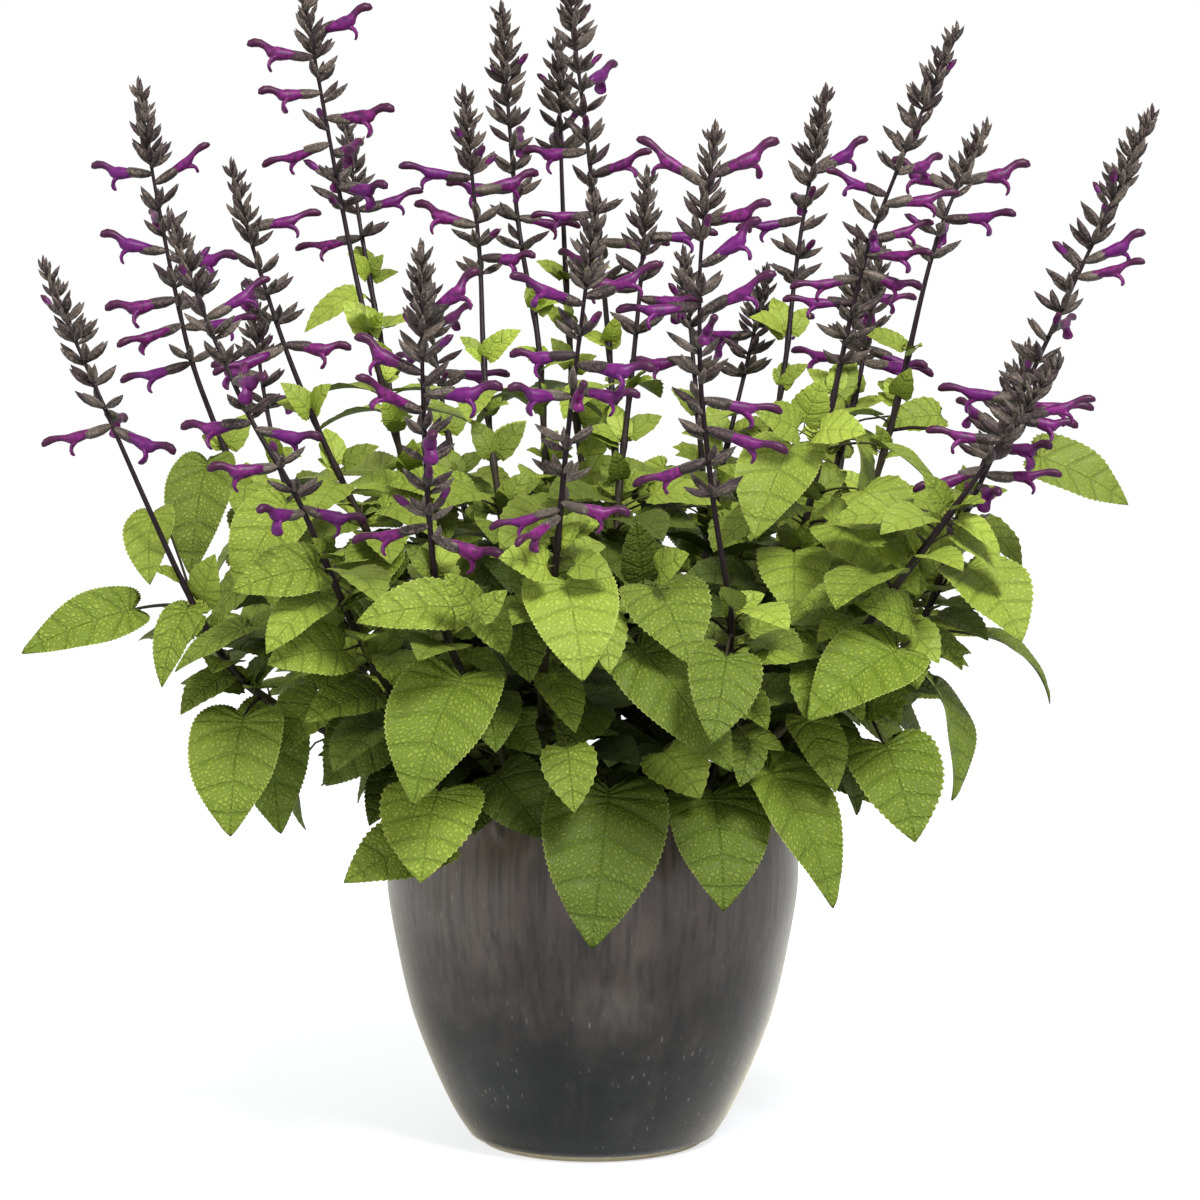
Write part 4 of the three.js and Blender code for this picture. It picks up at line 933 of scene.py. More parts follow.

# %% [markdown]
# The pot has a charcoal glaze with vertical streaks, runs and pale specks, and bare cream clay at the foot.
# Its colour is near black low down and a warmer brown towards the rim. A noise that is stretched along the
# height gives the runs. A sheen and a thin clear coat give the pale light along the pot's sides, which a
# plain gloss doesn't.

# %% Glaze finish
FOOT_LINE = 0.0032         # metres above the ground, where the glaze ends
FOOT_FADE = 0.0012         # metres over which it thins out
glaze_finish, tree, shader = new_finish("glaze", Specular_IOR_Level=0.34, Sheen_Weight=1.0,
                                        Sheen_Roughness=0.31, Sheen_Tint=(1.0, 0.92, 0.72, 1.0),
                                        Coat_Weight=1.0, Coat_Roughness=0.12, Coat_IOR=1.22)
spot = place_in_object(tree)
height = spot.part(2)
drips = Field(add_node(tree, "ShaderNodeMapping", {"Vector": spot, "Scale": (1.0, 1.0, 0.05)}))
runs = noise(tree, drips, 230.0, 4.0, 0.6)
bands = noise(tree, drips, 60.0, 3.0, 0.6)
clouds = noise(tree, spot, 16.0, 5.0, 0.6)
# the colour runs from near black low down to a warmer brown towards the rim
warm = (height + clouds * 0.12).span(0.11, 0.27)
colour = blend(tree, warm, paint(6, 6, 5), paint(98, 86, 77))
colour = blend(tree, runs.span(0.4, 0.65, 0.0, 0.55), colour, paint(16, 16, 15))
colour = blend(tree, bands.span(0.52, 0.75, 0.0, 0.5) * warm.span(0, 1, 0.3, 1), colour, paint(98, 88, 76))
colour = blend(tree, clouds.span(0.45, 0.75, 0.0, 0.5) * warm.span(0, 1, 0.4, 1), colour, paint(88, 88, 84))
long_spot = Field(add_node(tree, "ShaderNodeMapping", {"Vector": spot, "Scale": (1.0, 1.0, 0.22)}))
specks = Field(add_node(tree, "ShaderNodeTexVoronoi", {"Vector": long_spot, "Scale": 210.0}))
speck = specks.span(0.05, 0.2, 1, 0) * clouds.span(0.46, 0.6)
colour = blend(tree, speck * 0.4, colour, paint(150, 146, 134))
bare = height.span(FOOT_LINE, FOOT_LINE + FOOT_FADE, 1, 0)
colour = blend(tree, bare, colour, paint(244, 230, 196))
gloss = runs.span(0.3, 0.7, 0.16, 0.32).maths("MAXIMUM", bare * 0.8)
feed(tree, shader, Base_Color=colour, Roughness=gloss, Normal=relief(tree, runs + clouds * 2.0, 0.0007, 0.3))

# %% [markdown]
# Potting mix is dark peat with paler chips of bark. Noise gives the peat, and cells of random colour laid
# over it give the chips. Modelled chips would hardly show between the leaves.

# %% Soil finish
soil_finish, tree, shader = new_finish("soil", Roughness=0.92)
spot = place_in_object(tree)
grain = noise(tree, spot, 260.0, 5.0, 0.65)
chips = Field(add_node(tree, "ShaderNodeTexVoronoi", {"Vector": spot, "Scale": 220.0}), "Color")
colour = blend(tree, grain.span(0.3, 0.7), paint(30, 22, 16), paint(70, 52, 38))
colour = blend(tree, 0.25, colour, chips, "OVERLAY")
feed(tree, shader, Base_Color=colour, Normal=relief(tree, grain, 0.002, 0.8))

print(len(bpy.data.materials), "finishes are ready")


# %% [markdown]
# ## One leaf, one calyx, one flower
#
# What repeats is modelled once, as a small template, and then placed many times. A template carries values
# with it, such as how far along a leaf each point is, and the finishes read them.

# %% Mesh helpers
def new_mesh(name, points, faces):
    mesh = bpy.data.meshes.new(name)
    mesh.from_pydata([tuple(map(float, p)) for p in points], [], faces, shade_flat=False)
    return mesh


def store(mesh, name, values, domain="POINT"):
    """Let a mesh carry a number or a vector for each point or face."""
    values = np.asarray(values, float)
    vector = values.ndim == 2
    layer = mesh.attributes.new(name, "FLOAT_VECTOR" if vector else "FLOAT", domain)
    layer.data.foreach_set("vector" if vector else "value", values.ravel())


def template(name, mesh):
    """An object for a mesh, in the scene."""
    thing = bpy.data.objects.new(name, mesh)
    scene.collection.objects.link(thing)
    return thing


# %% [markdown]
# The leaf is a heart with a toothed edge and side veins that run forward into it. It could be cut out of an
# even grid, but the veins would cross the faces. Here the rows of faces follow the side veins, so the blade
# can bulge between them. The longer a leaf is, the finer the template that it gets.

# %% Leaf templates
TEETH_SHARE = 0.4          # a tooth's depth, out and in, as a share of the step between two rows
DEEPEST_STEP = 0.045       # of the leaf; teeth that are further apart get no deeper
VEIN_SLANT = 0.6           # how far a side vein runs forward for each step outward
RIB_STEP = 0.002           # of the leaf, by which rows rise along the midrib at least


def heart_line(count):
    """Evenly spaced points along half a heart, from the notch to the tip."""
    fine = np.array([along(HEART, t) for t in np.linspace(0, 1, 300)])
    travelled = np.concatenate([[0], np.cumsum(np.linalg.norm(np.diff(fine, axis=0), axis=1))])
    even = np.linspace(0, travelled[-1], count)
    return np.array([np.interp(even, travelled, fine[:, 0]), np.interp(even, travelled, fine[:, 1])]).T


def leaf_template(name, rows, columns, rows_a_vein):
    """A closed leaf blade: two sheets that share their toothed edge, with rows that follow the side veins."""
    edge = heart_line(rows + 1)
    depth = TEETH_SHARE * min(DEEPEST_STEP, np.linalg.norm(edge[1] - edge[0]))
    for j in range(1, rows):
        forward = unit(edge[j + 1] - edge[j - 1]) if j % 2 else unit(edge[j] - edge[j - 1])
        outward = place(forward[1], -forward[0], 0)[:2]
        edge[j] += outward * depth * (1 if j % 2 else -1) * min(1, 3 * (1 - j / rows))
    rib = np.maximum.accumulate(edge[:, 1] - VEIN_SLANT * edge[:, 0] + RIB_STEP * np.arange(rows + 1))
    rib = np.clip(rib, RIB_STEP * np.arange(rows + 1), 1)
    rib[0], rib[-1] = edge[0, 1], edge[-1, 1]

    known, points, share, vein, quilt = {}, [], [], [], []

    def point(side, sheet, j, k):
        end = "notch" if j == 0 else "tip" if j == rows else None
        key = end or ((side, j) if k == columns else (sheet, j, "rib") if k == 0 else (side, sheet, j, k))
        if key not in known:
            s = 0 if end else (k / columns) ** 0.8
            known[key] = len(points)
            lens = 0 if end else sheet * 0.5 * (1 - s ** 4)
            spot = (side * s * edge[j, 0], mix(rib[j], edge[j, 1], s ** 1.15), lens)
            points.append(spot)
            share.append(spot)
            vein.append((j / rows_a_vein, s, 0))
            swell = math.sin(math.pi * j / rows_a_vein) ** 2 * (4 * s * (1 - s)) ** 0.7
            quilt.append(0 if end else swell)
        return known[key]

    faces, under = [], []
    for sheet in (1, -1):
        for side in (1, -1):
            for j in range(rows):
                for k in range(columns):
                    ring = [point(side, sheet, *corner)
                            for corner in ((j, k), (j, k + 1), (j + 1, k + 1), (j + 1, k))]
                    ring = list(dict.fromkeys(ring))
                    if len(ring) > 2:
                        faces.append(ring if side * sheet > 0 else ring[:1] + ring[:0:-1])
                        under.append(float(sheet < 0))
    mesh = new_mesh(name, points, faces)
    store(mesh, "leaf_share", share)
    store(mesh, "vein", vein)
    store(mesh, "quilt", quilt)
    store(mesh, "under", under, "FACE")
    sharp = mesh.attributes.new("sharp_edge", "BOOLEAN", "EDGE")
    rims = {known[key] for key in known if key in ("notch", "tip") or len(key) == 2}
    sharp.data.foreach_set("value", [e.vertices[0] in rims and e.vertices[1] in rims for e in mesh.edges])
    print(name, "has", len(faces), "faces")
    return template(name, mesh)


great_leaf = leaf_template("great_leaf", 84, 4, 10)
large_leaf = leaf_template("large_leaf", 50, 3, 6)
middle_leaf = leaf_template("middle_leaf", 22, 2, 3)
small_leaf = leaf_template("small_leaf", 12, 1, 3)


# %% [markdown]
# A calyx, a bud and a flower's hood are bent tubes that swell and narrow. Sculpting would give them more
# character, but they stand on the plant by the hundred and have to stay small. A few rings along a line are
# enough, and every point carries how far along the tube it lies.

# %% Templates that are drawn as rings along a line
def ringed(name, rings, sides, rib=0.0):
    """A closed body of rings (x, z, half width, half depth) along a line in the XZ plane, in millimetres."""
    rings = np.array(rings, float)
    path = rings[:, :2]
    ahead = np.gradient(path, axis=0)
    ahead /= np.linalg.norm(ahead, axis=1)[:, None]
    points, run, ribs = [], [], []
    for i, (x, z, wide, deep) in enumerate(rings):
        for k in range(sides):
            turn = 2 * math.pi * k / sides
            swell = 1 - rib * (k % 2)
            lift = math.cos(turn) * deep * swell
            points.append((x + lift * ahead[i, 1], math.sin(turn) * wide * swell, z - lift * ahead[i, 0]))
            run.append(i / (len(rings) - 1))
            ribs.append(float(k % 2))
    faces = [list(range(sides)), [len(points) - 1 - k for k in range(sides)]]
    for i in range(len(rings) - 1):
        for k in range(sides):
            a, b = i * sides + k, i * sides + (k + 1) % sides
            faces.append((b, a, a + sides, b + sides))
    mesh = new_mesh(name, np.array(points) * MM, faces)
    store(mesh, "run", run)
    store(mesh, "rib", ribs)
    print(name, "has", len(faces), "faces")
    return mesh


def joined(name, *meshes):
    """One mesh out of several."""
    from_parts = bpy.data.meshes.new(name)
    points, faces, run = [], [], []
    for mesh in meshes:
        first = len(points)
        points += [tuple(v.co) for v in mesh.vertices]
        faces += [[first + v for v in f.vertices] for f in mesh.polygons]
        run += [item.value for item in mesh.attributes["run"].data]
        bpy.data.meshes.remove(mesh)
    from_parts.from_pydata(points, [], faces, shade_flat=False)
    store(from_parts, "run", run)
    return from_parts


CLOSED_CALYX = [(0, 0, 0.8, 0.8), (0, 3, 1.7, 1.6), (-0.2, 7.5, 2.8, 2.7), (0, 12.5, 2.9, 2.7),
                (0.7, 17, 1.7, 1.6), (1.7, 20.5, 0.2, 0.2)]
OPEN_CALYX = [(0, 0, 1.0, 1.0), (0, 3, 2.6, 2.6), (-0.2, 8, 3.7, 3.7), (0, 13.5, 3.9, 3.9),
              (0.3, 17, 3.4, 3.6), (0.8, 19.5, 2.6, 2.8)]
PETAL_BUD = [(0, 9, 1.6, 1.6), (0.5, 15, 2.2, 2.2), (1.4, 20, 2.8, 2.9), (2.0, 24, 2.2, 2.4),
             (1.8, 27, 0.4, 0.4)]

closed_calyx = template("closed_calyx", ringed("closed_calyx", CLOSED_CALYX, 6, 0.2))
open_calyx = template("open_calyx", ringed("open_calyx", OPEN_CALYX, 8, 0.14))
petal_bud = template("petal_bud", ringed("petal_bud", PETAL_BUD, 6))


LIP_RUN = 0.45             # the lip's values stop short of the hood's dark end


def corolla_of(name, hood, lip):
    """An open flower out of its tube and hood, and its lower lip, which stays the colour of the tube."""
    upper, lower = ringed(name + "_hood", hood, 9), ringed(name + "_lip", lip, 7)
    for item in lower.attributes["run"].data:
        item.value *= LIP_RUN
    return template(name, joined(name, upper, lower))


long_corolla = corolla_of(
    "long_corolla",
    [(0, 11, 2.4, 2.4), (0, 17, 2.9, 3.0), (-0.1, 23, 3.4, 3.8), (-0.2, 28, 3.8, 4.2), (0.3, 30.5, 3.6, 3.8),
     (1.4, 33, 2.9, 2.8), (2.6, 36, 2.4, 2.2), (3.6, 40, 2.5, 2.3), (3.9, 44, 2.9, 2.8),
     (3.4, 47.5, 2.9, 2.8), (2.2, 50, 2.0, 2.0), (1.3, 51, 0.6, 0.6)],
    [(-1.5, 26, 2.9, 2.2), (-3.4, 29.5, 3.3, 2.0), (-5.4, 31.8, 3.2, 1.6), (-7.6, 33, 3.9, 1.3),
     (-9.8, 33, 4.4, 1.1), (-11.2, 32.2, 3.2, 0.9), (-11.7, 31.5, 0.9, 0.4)])
wide_corolla = corolla_of(
    "wide_corolla",
    [(0, 11, 2.6, 2.6), (0, 17, 3.5, 3.6), (-0.3, 23, 4.3, 4.8), (-0.4, 27, 4.6, 5.2), (0.6, 30, 4.2, 4.2),
     (2.4, 32, 3.4, 3.0), (4.0, 34.5, 2.9, 2.6), (5.4, 38, 3.1, 2.9), (5.4, 42, 3.4, 3.2),
     (4.0, 45, 2.7, 2.7), (2.6, 46.5, 0.8, 0.8)],
    [(-1.8, 24, 3.5, 2.4), (-4.0, 27.6, 4.0, 2.1), (-6.6, 29.6, 4.1, 1.6), (-9.4, 30.2, 5.0, 1.3),
     (-11.8, 29.4, 5.0, 1.1), (-13.2, 28.2, 3.2, 0.9), (-13.6, 27.4, 0.9, 0.4)])


# %% [markdown]
# ## A tree for leaves
#
# The tree puts a template on each leaf's point and then bends every one into its own frame. Array modifiers
# or copied objects could place the leaves, but only a rule can give each its own bend, fold and wave while
# the shape stays one.

# %% Geometry Nodes helpers
def new_tree(name, sizes):
    """A Geometry Nodes tree with named inputs: (name, kind, value) each."""
    tree = bpy.data.node_groups.new(name, "GeometryNodeTree")
    tree.interface.new_socket("Geometry", in_out="INPUT", socket_type="NodeSocketGeometry")
    tree.interface.new_socket("Geometry", in_out="OUTPUT", socket_type="NodeSocketGeometry")
    for label, kind, value in sizes:
        socket = tree.interface.new_socket(label, in_out="INPUT", socket_type="NodeSocket" + kind)
        if value is not None:
            socket.default_value = value
    inlet = tree.nodes.new("NodeGroupInput")
    return tree, {socket.name: Field(inlet, socket.name) for socket in inlet.outputs if socket.name}


def named(tree, name, kind="FLOAT"):
    return Field(add_node(tree, "GeometryNodeInputNamedAttribute", {"Name": name}, data_type=kind))


def end_tree(tree, geometry, material):
    """Every tree ends in plain, smooth faces with their finish."""
    smooth = add_node(tree, "GeometryNodeSetShadeSmooth", {"Geometry": geometry})
    real = add_node(tree, "GeometryNodeRealizeInstances", {"Geometry": Field(smooth)})
    painted = add_node(tree, "GeometryNodeSetMaterial", {"Geometry": Field(real), "Material": material})
    outlet = tree.nodes.new("NodeGroupOutput")
    tree.links.new(painted.outputs[0], outlet.inputs[0])


def placed_template(tree, points, source, selection=None, rotation=None, scale=None):
    """Instances of a template object on the chosen points."""
    shape = Field(add_node(tree, "GeometryNodeObjectInfo", {"Object": source}), "Geometry")
    inputs = {"Points": points, "Instance": shape}
    inputs.update({key: value for key, value in
                   (("Selection", selection), ("Rotation", rotation), ("Scale", scale)) if value is not None})
    return Field(add_node(tree, "GeometryNodeInstanceOnPoints", inputs))


def join(tree, *geometries):
    node = tree.nodes.new("GeometryNodeJoinGeometry")
    for geometry in geometries:
        tree.links.new(geometry.socket, node.inputs[0])
    return Field(node)


# %% The leaf tree
LEAF_THICKNESS = 0.0006
QUILT_HEIGHT = 0.014       # of the leaf's reach
EDGE_WAVE = 0.03           # of the leaf's width

leaf_tree, given = new_tree("leaves", [
    ("Small leaf", "Object", small_leaf), ("Middle leaf", "Object", middle_leaf),
    ("Large leaf", "Object", large_leaf), ("Great leaf", "Object", great_leaf),
    ("Thickness", "Float", LEAF_THICKNESS), ("Fold", "Float", FOLD), ("Quilt", "Float", QUILT_HEIGHT),
    ("Wave", "Float", EDGE_WAVE), ("Finish", "Material", leaf_finish)])
size_class = named(leaf_tree, "size_class")
flat = join(leaf_tree, *(
    placed_template(leaf_tree, given["Geometry"], given[label],
                    (size_class - number).maths("ABSOLUTE").maths("LESS_THAN", 0.5))
    for number, label in enumerate(("Small leaf", "Middle leaf", "Large leaf", "Great leaf"))))
real = Field(add_node(leaf_tree, "GeometryNodeRealizeInstances", {"Geometry": flat}))
base, side, ahead, up, share = (named(leaf_tree, key, "FLOAT_VECTOR")
                                for key in ("base", "side", "ahead", "up", "leaf_share"))
reach, bend, width, wave_turn = (named(leaf_tree, key) for key in ("reach", "bend", "width", "wave_turn"))
x = share.part(0) * width
outward = share.part(0).maths("ABSOLUTE")
radius = reach / bend
angle = share.part(1) * bend
wave = (share.part(1) * 9.0 + wave_turn + share.part(0) * 2.0).maths("SINE") * outward * outward * 4.0
lift = (radius + share.part(2) * given["Thickness"] + outward * width * given["Fold"]
        + named(leaf_tree, "quilt") * reach * given["Quilt"] + wave * width * given["Wave"])
spot = (base + side * x + ahead * (lift * angle.maths("SINE"))
        + up * (lift * angle.maths("COSINE") - radius))
bent = Field(add_node(leaf_tree, "GeometryNodeSetPosition", {"Geometry": real, "Position": spot}))
end_tree(leaf_tree, bent, given["Finish"])
print("the leaf tree has", len(leaf_tree.nodes), "nodes")


# %% Pieces
def cloud(name, points, **values):
    """Loose points that each carry their own values, for a tree to grow something on."""
    mesh = new_mesh(name, points, [])
    for key, value in values.items():
        store(mesh, key, value)
    return mesh


def grow(name, mesh, tree, replaced):
    """Run a tree on a mesh, keep the plain result as a piece, and tie the piece to the frame."""
    thing = template(name, mesh)
    modifier = thing.modifiers.new("grow", "NODES")
    modifier.node_group = tree
    for item in tree.interface.items_tree:
        if item.in_out == "INPUT" and item.socket_type != "NodeSocketGeometry":
            modifier[item.identifier] = item.default_value
    evaluated = thing.evaluated_get(bpy.context.evaluated_depsgraph_get())
    thing.data = bpy.data.meshes.new_from_object(evaluated)
    thing.modifiers.clear()
    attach(thing, "root")
    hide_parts(*replaced)
    return thing


# %% Grow the leaves
NEXT_TEMPLATE_FROM = (26, 48, 66)     # lengths from which a leaf gets the next finer template
# Leaves deep inside the plant get painted shade: the nearer to the axis and the lower down, the darker.
INNER_REACH = 165          # nearer to the pot's axis than this, leaves grow darker
DARK_BELOW = 430           # and so they do below this height
DEEPEST_SHADE = 3.3
OLD_BELOW = 290
LONGEST_YOUNG = 74
WAVE_TURN = 6.28           # radians, by which the wave of a leaf's edge may be shifted


def ageing(leaf):
    """From 0 for an old leaf to 1 for a young one, by its length and its height on the plant."""
    short = np.clip((LONGEST_YOUNG - leaf.reach) / 48, 0, 1)
    high = np.clip((leaf.base[2] - OLD_BELOW) / 200, 0, 1)
    return float(0.4 * short + 0.7 * high + chance.uniform(-0.25, 0.25))


def tone_and_painted_shade(leaf):
    """Leaves differ a little at random, and those deep inside the plant get painted shade."""
    inside = np.clip((INNER_REACH - math.hypot(*leaf.base[:2])) / 110, 0, 1)
    below = np.clip((DARK_BELOW - leaf.base[2]) / 130, 0, 1)
    return chance.uniform(-1, 1) + DEEPEST_SHADE * inside * below


for stem in stems:
    grown_here = stem.leaves
    mesh = cloud(
        f"leaves_{stem.number:02d}", [leaf.base * MM for leaf in grown_here],
        base=[leaf.base * MM for leaf in grown_here], side=[leaf.side for leaf in grown_here],
        ahead=[leaf.ahead for leaf in grown_here], up=[leaf.up for leaf in grown_here],
        reach=[leaf.reach * MM for leaf in grown_here], width=[leaf.width * MM for leaf in grown_here],
        bend=[leaf.bend for leaf in grown_here], age=[ageing(leaf) for leaf in grown_here],
        tone=[tone_and_painted_shade(leaf) for leaf in grown_here],
        wave_turn=[chance.uniform(0, WAVE_TURN) for _ in grown_here],
        size_class=[np.searchsorted(NEXT_TEMPLATE_FROM, leaf.reach) for leaf in grown_here])
    piece = grow(f"leaves_{stem.number:02d}", mesh, leaf_tree, [f"leafy_stem_{stem.number:02d}"])
print("the last stem's leaves have", len(piece.data.polygons), "faces")


# %% [markdown]
# ## Stems
#
# A stem is square with rounded corners, and swells a little where leaves and whorls sit. A curve with a
# profile gives that at once: the line comes from the growth above, and each point carries its own radius.

# %% The stem tree
STEM_SIDE = 1.7            # of the square section, for a radius of 1
STEM_CORNER = 0.55         # and the rounding of its corners

stem_tree, given = new_tree("stems", [("Side", "Float", STEM_SIDE), ("Corner", "Float", STEM_CORNER),
                                      ("Finish", "Material", stem_finish)])
line = Field(add_node(stem_tree, "GeometryNodeMeshToCurve", {"Mesh": given["Geometry"]}))
square = Field(add_node(stem_tree, "GeometryNodeCurvePrimitiveQuadrilateral",
                        {"Width": given["Side"], "Height": given["Side"]}))
profile = Field(add_node(stem_tree, "GeometryNodeFilletCurve", {"Curve": square, "Radius": given["Corner"]}))
tube = Field(add_node(stem_tree, "GeometryNodeCurveToMesh",
                      {"Curve": line, "Profile Curve": profile, "Scale": named(stem_tree, "radius"),
                       "Fill Caps": True}))
end_tree(stem_tree, tube, given["Finish"])

# %% Grow the stems and leaf stalks
STEM_GRAIN = 4             # millimetres between the points of a stem's line
SOFTEN = 5                 # points on each side that a bend is spread over
SWELL = 0.16               # of the radius, where leaves and whorls sit
SWELL_HEIGHT = 3
FOOT_GREEN = 0.3           # how green a stem is at the soil
STALK_RADII = (1.25, 0.85)            # from the stem to the blade
FULL_STALK_FROM = 60       # a shorter leaf has a thinner and greener stalk


def soft_line(chain):
    """A stem's line with its bends rounded off."""
    lengths = np.concatenate([[0], np.cumsum([np.linalg.norm(b - a) for a, b in zip(chain, chain[1:])])])
    even = np.linspace(0, lengths[-1], round(lengths[-1] / STEM_GRAIN) + 1)
    line = np.array([np.interp(even, lengths, np.array(chain)[:, axis]) for axis in range(3)]).T
    soft = line.copy()
    for i in range(1, len(line) - 1):
        near = min(SOFTEN, i, len(line) - 1 - i)
        soft[i] = line[i - near:i + near + 1].mean(0)
    return soft


def stalk_line(leaf, points):
    """A leaf stalk that leaves the stem straight and meets the blade in its own direction."""
    gap = leaf.base - leaf.root
    size = np.linalg.norm(gap)
    leave, arrive = gap * 0.8 + (0, 0, size * 0.35), leaf.ahead * size * 0.8
    t = np.linspace(0, 1, points)[:, None]
    return ((2 * t ** 3 - 3 * t ** 2 + 1) * leaf.root + (t ** 3 - 2 * t ** 2 + t) * leave
            + (3 * t ** 2 - 2 * t ** 3) * leaf.base + (t ** 3 - t ** 2) * arrive)


for stem in stems:
    points, edges, radii, green = [], [], [], []

    def add_line(line, line_radii, line_green):
        first = len(points)
        points.extend(line * MM)
        edges.extend((first + i, first + i + 1) for i in range(len(line) - 1))
        radii.extend(line_radii * MM)
        green.extend(line_green)

    stem.line = soft_line([*stem.low, *stem.high[1:]])
    z = stem.line[:, 2]
    spike_share = np.clip((z - stem.low[-1][2]) / (stem.tip[2] - stem.low[-1][2]), 0, 1)
    low_share = np.clip((z - z[0]) / (stem.low[-1][2] - z[0]), 0, 1)
    radius = np.where(spike_share > 0, mix(STEM_TOP_RADIUS, SPIKE_TIP_RADIUS, spike_share),
                      mix(STEM_BASE_RADIUS, STEM_TOP_RADIUS, low_share))
    joints = [calyx.root[2] for calyx in stem.calyces] + [leaf.root[2] for leaf in stem.leaves]
    swell = sum(np.exp(-((z - joint) / SWELL_HEIGHT) ** 2) for joint in set(joints))
    add_line(stem.line, radius * (1 + SWELL * np.clip(swell, 0, 1.5)), FOOT_GREEN * (1 - low_share))
    for leaf in stem.leaves:
        thick = np.clip(leaf.reach / FULL_STALK_FROM, 0.45, 1.15)
        young = np.clip((FULL_STALK_FROM - leaf.reach) / 40, 0.1, 0.9)
        count = 4 if leaf.kind == "young" else 7
        add_line(stalk_line(leaf, count), np.linspace(*STALK_RADII, count) * thick,
                 np.linspace(0.1, 1, count) * young)
    mesh = bpy.data.meshes.new(f"stem_{stem.number:02d}")
    mesh.from_pydata([tuple(p) for p in points], edges, [])
    store(mesh, "radius", radii)
    store(mesh, "green", green)
    grow(f"stem_{stem.number:02d}", mesh, stem_tree,
         [f"leafy_stem_{stem.number:02d}", f"flower_spike_{stem.number:02d}"])
print(len(stems), "stems with their leaf stalks")


# %% [markdown]
# ## Calyces and flowers
#
# Each whorl is a ring of calyces. The solid model has a few of them, and here every one of those gets
# partners all round the stem, where there is room. Towards the tip they get smaller, and a cone of closely
# packed ones, each a golden angle round from the last, closes the spike. One ready-made spike could be copied
# to every stem, but these have to make room for the flowers of the solid model.

# %% Whorls
PARTNER_TURNS = (60, 120, 180, 240, 300)
PARTNER_STRAY = SimpleNamespace(height=3.5, turn=12, rise=8)
PARTNER_SIZES = (0.85, 1.05)
TIP_BUDS = 28
TIP_REACH = 52             # the spike narrows over this length
TIP_SHARE = 0.6            # down to this share of a full calyx
TIP_MOST = 0.6             # of a short spike's length, that the cone takes at most
TIP_END = 0.5              # the last calyx sits this far below the tip
GOLDEN_TURN = 137.5        # degrees
TIP_RISES = (34, 82)       # degrees, from the cone's foot to its end
TIP_SIZES = (0.8, 0.38)


def stray(most):
    """A random draw that goes as far either way."""
    return chance.uniform(-most, most)


def fits(calyx, owner):
    return not crowded(calyx.body, owner, ("stem", "calyx"))


for stem in stems:
    for calyx in list(stem.calyces):
        for turn in PARTNER_TURNS:
            below = np.linalg.norm(stem.tip - calyx.root) + stray(PARTNER_STRAY.height)
            partner = calyx_at(below_tip(stem, below), calyx.azimuth + turn + stray(PARTNER_STRAY.turn),
                               calyx.rise + stray(PARTNER_STRAY.rise),
                               calyx.size * chance.uniform(*PARTNER_SIZES))
            if fits(partner, stem.number):
                stem.calyces.append(partner)
    for calyx in stem.calyces:
        calyx.size *= mix(TIP_SHARE, 1, min(1, np.linalg.norm(stem.tip - calyx.root) / TIP_REACH))
    for i in range(TIP_BUDS):
        share = i / TIP_BUDS
        below = mix(min(TIP_REACH, stem.spike_length * TIP_MOST), TIP_END, share)
        stem.calyces.append(calyx_at(below_tip(stem, below), GOLDEN_TURN * i, mix(*TIP_RISES, share),
                                     mix(*TIP_SIZES, share)))
print(sum(len(s.calyces) for s in stems), "calyces in whorls")


# %% [markdown]
# One kind of tree serves calyces and flowers. It picks a template by the number that each point carries, and
# turns it to point out of the stem with its top side up. Objects copied by hand would do for ten flowers, but
# not for more than a thousand calyces that have to follow the growth above.

# %% The tree for calyces and the tree for flowers
def pointing(tree):
    """Turn a template's X towards its up value and its Z towards its out value."""
    first = Field(add_node(tree, "FunctionNodeAlignRotationToVector",
                           {"Vector": named(tree, "up", "FLOAT_VECTOR")}, axis="X"))
    return Field(add_node(tree, "FunctionNodeAlignRotationToVector",
                          {"Rotation": first, "Vector": named(tree, "out", "FLOAT_VECTOR")},
                          axis="Z", pivot_axis="X"))


def kinds_tree(name, finish, **shapes):
    """A tree that puts one of several templates on each point, by the number in its kind value."""
    tree, given = new_tree(name, [*((label, "Object", shape) for label, shape in shapes.items()),
                                  ("Finish", "Material", finish)])
    kind, turn, size = named(tree, "kind"), pointing(tree), named(tree, "size")
    all_kinds = join(tree, *(
        placed_template(tree, given["Geometry"], given[label],
                        (kind - number).maths("ABSOLUTE").maths("LESS_THAN", 0.5), turn, size)
        for number, label in enumerate(shapes)))
    end_tree(tree, all_kinds, given["Finish"])
    return tree


calyx_tree = kinds_tree("calyces", calyx_finish, Closed=closed_calyx, Open=open_calyx)
flower_tree = kinds_tree("flowers", petal_finish, Bud=petal_bud, Long=long_corolla, Wide=wide_corolla)


# %% Grow the calyces and flowers
BUD_SHARE = 0.08           # of the closed calyces show a bud
WIDE_SHARE = 0.45          # of the flowers are of the wide kind
ROLL = 0.5                 # how far a flower rolls about its own line, either way
LEAN = 0.09                # and how far it leans out of its calyx's line
BLOOM_SIZES = (0.8, 0.96)
BUD_FROM_SIZE = 0.75       # smaller calyces show no bud
BUD_SIZE = 0.9


def upright(out):
    side = unit(np.cross(out, (0, 0, 1)))
    return unit(np.cross(side, out) + side * stray(ROLL))


def grow_on_spike(name, stem, tree, rows):
    """Rows of (root, out, size, kind)."""
    mesh = cloud(name, [row[0] * MM for row in rows], out=[row[1] for row in rows],
                 up=[upright(row[1]) for row in rows], size=[row[2] for row in rows],
                 kind=[float(row[3]) for row in rows], tone=[chance.uniform(-1, 1) for _ in rows])
    return grow(name, mesh, tree, [f"flower_spike_{stem.number:02d}"])


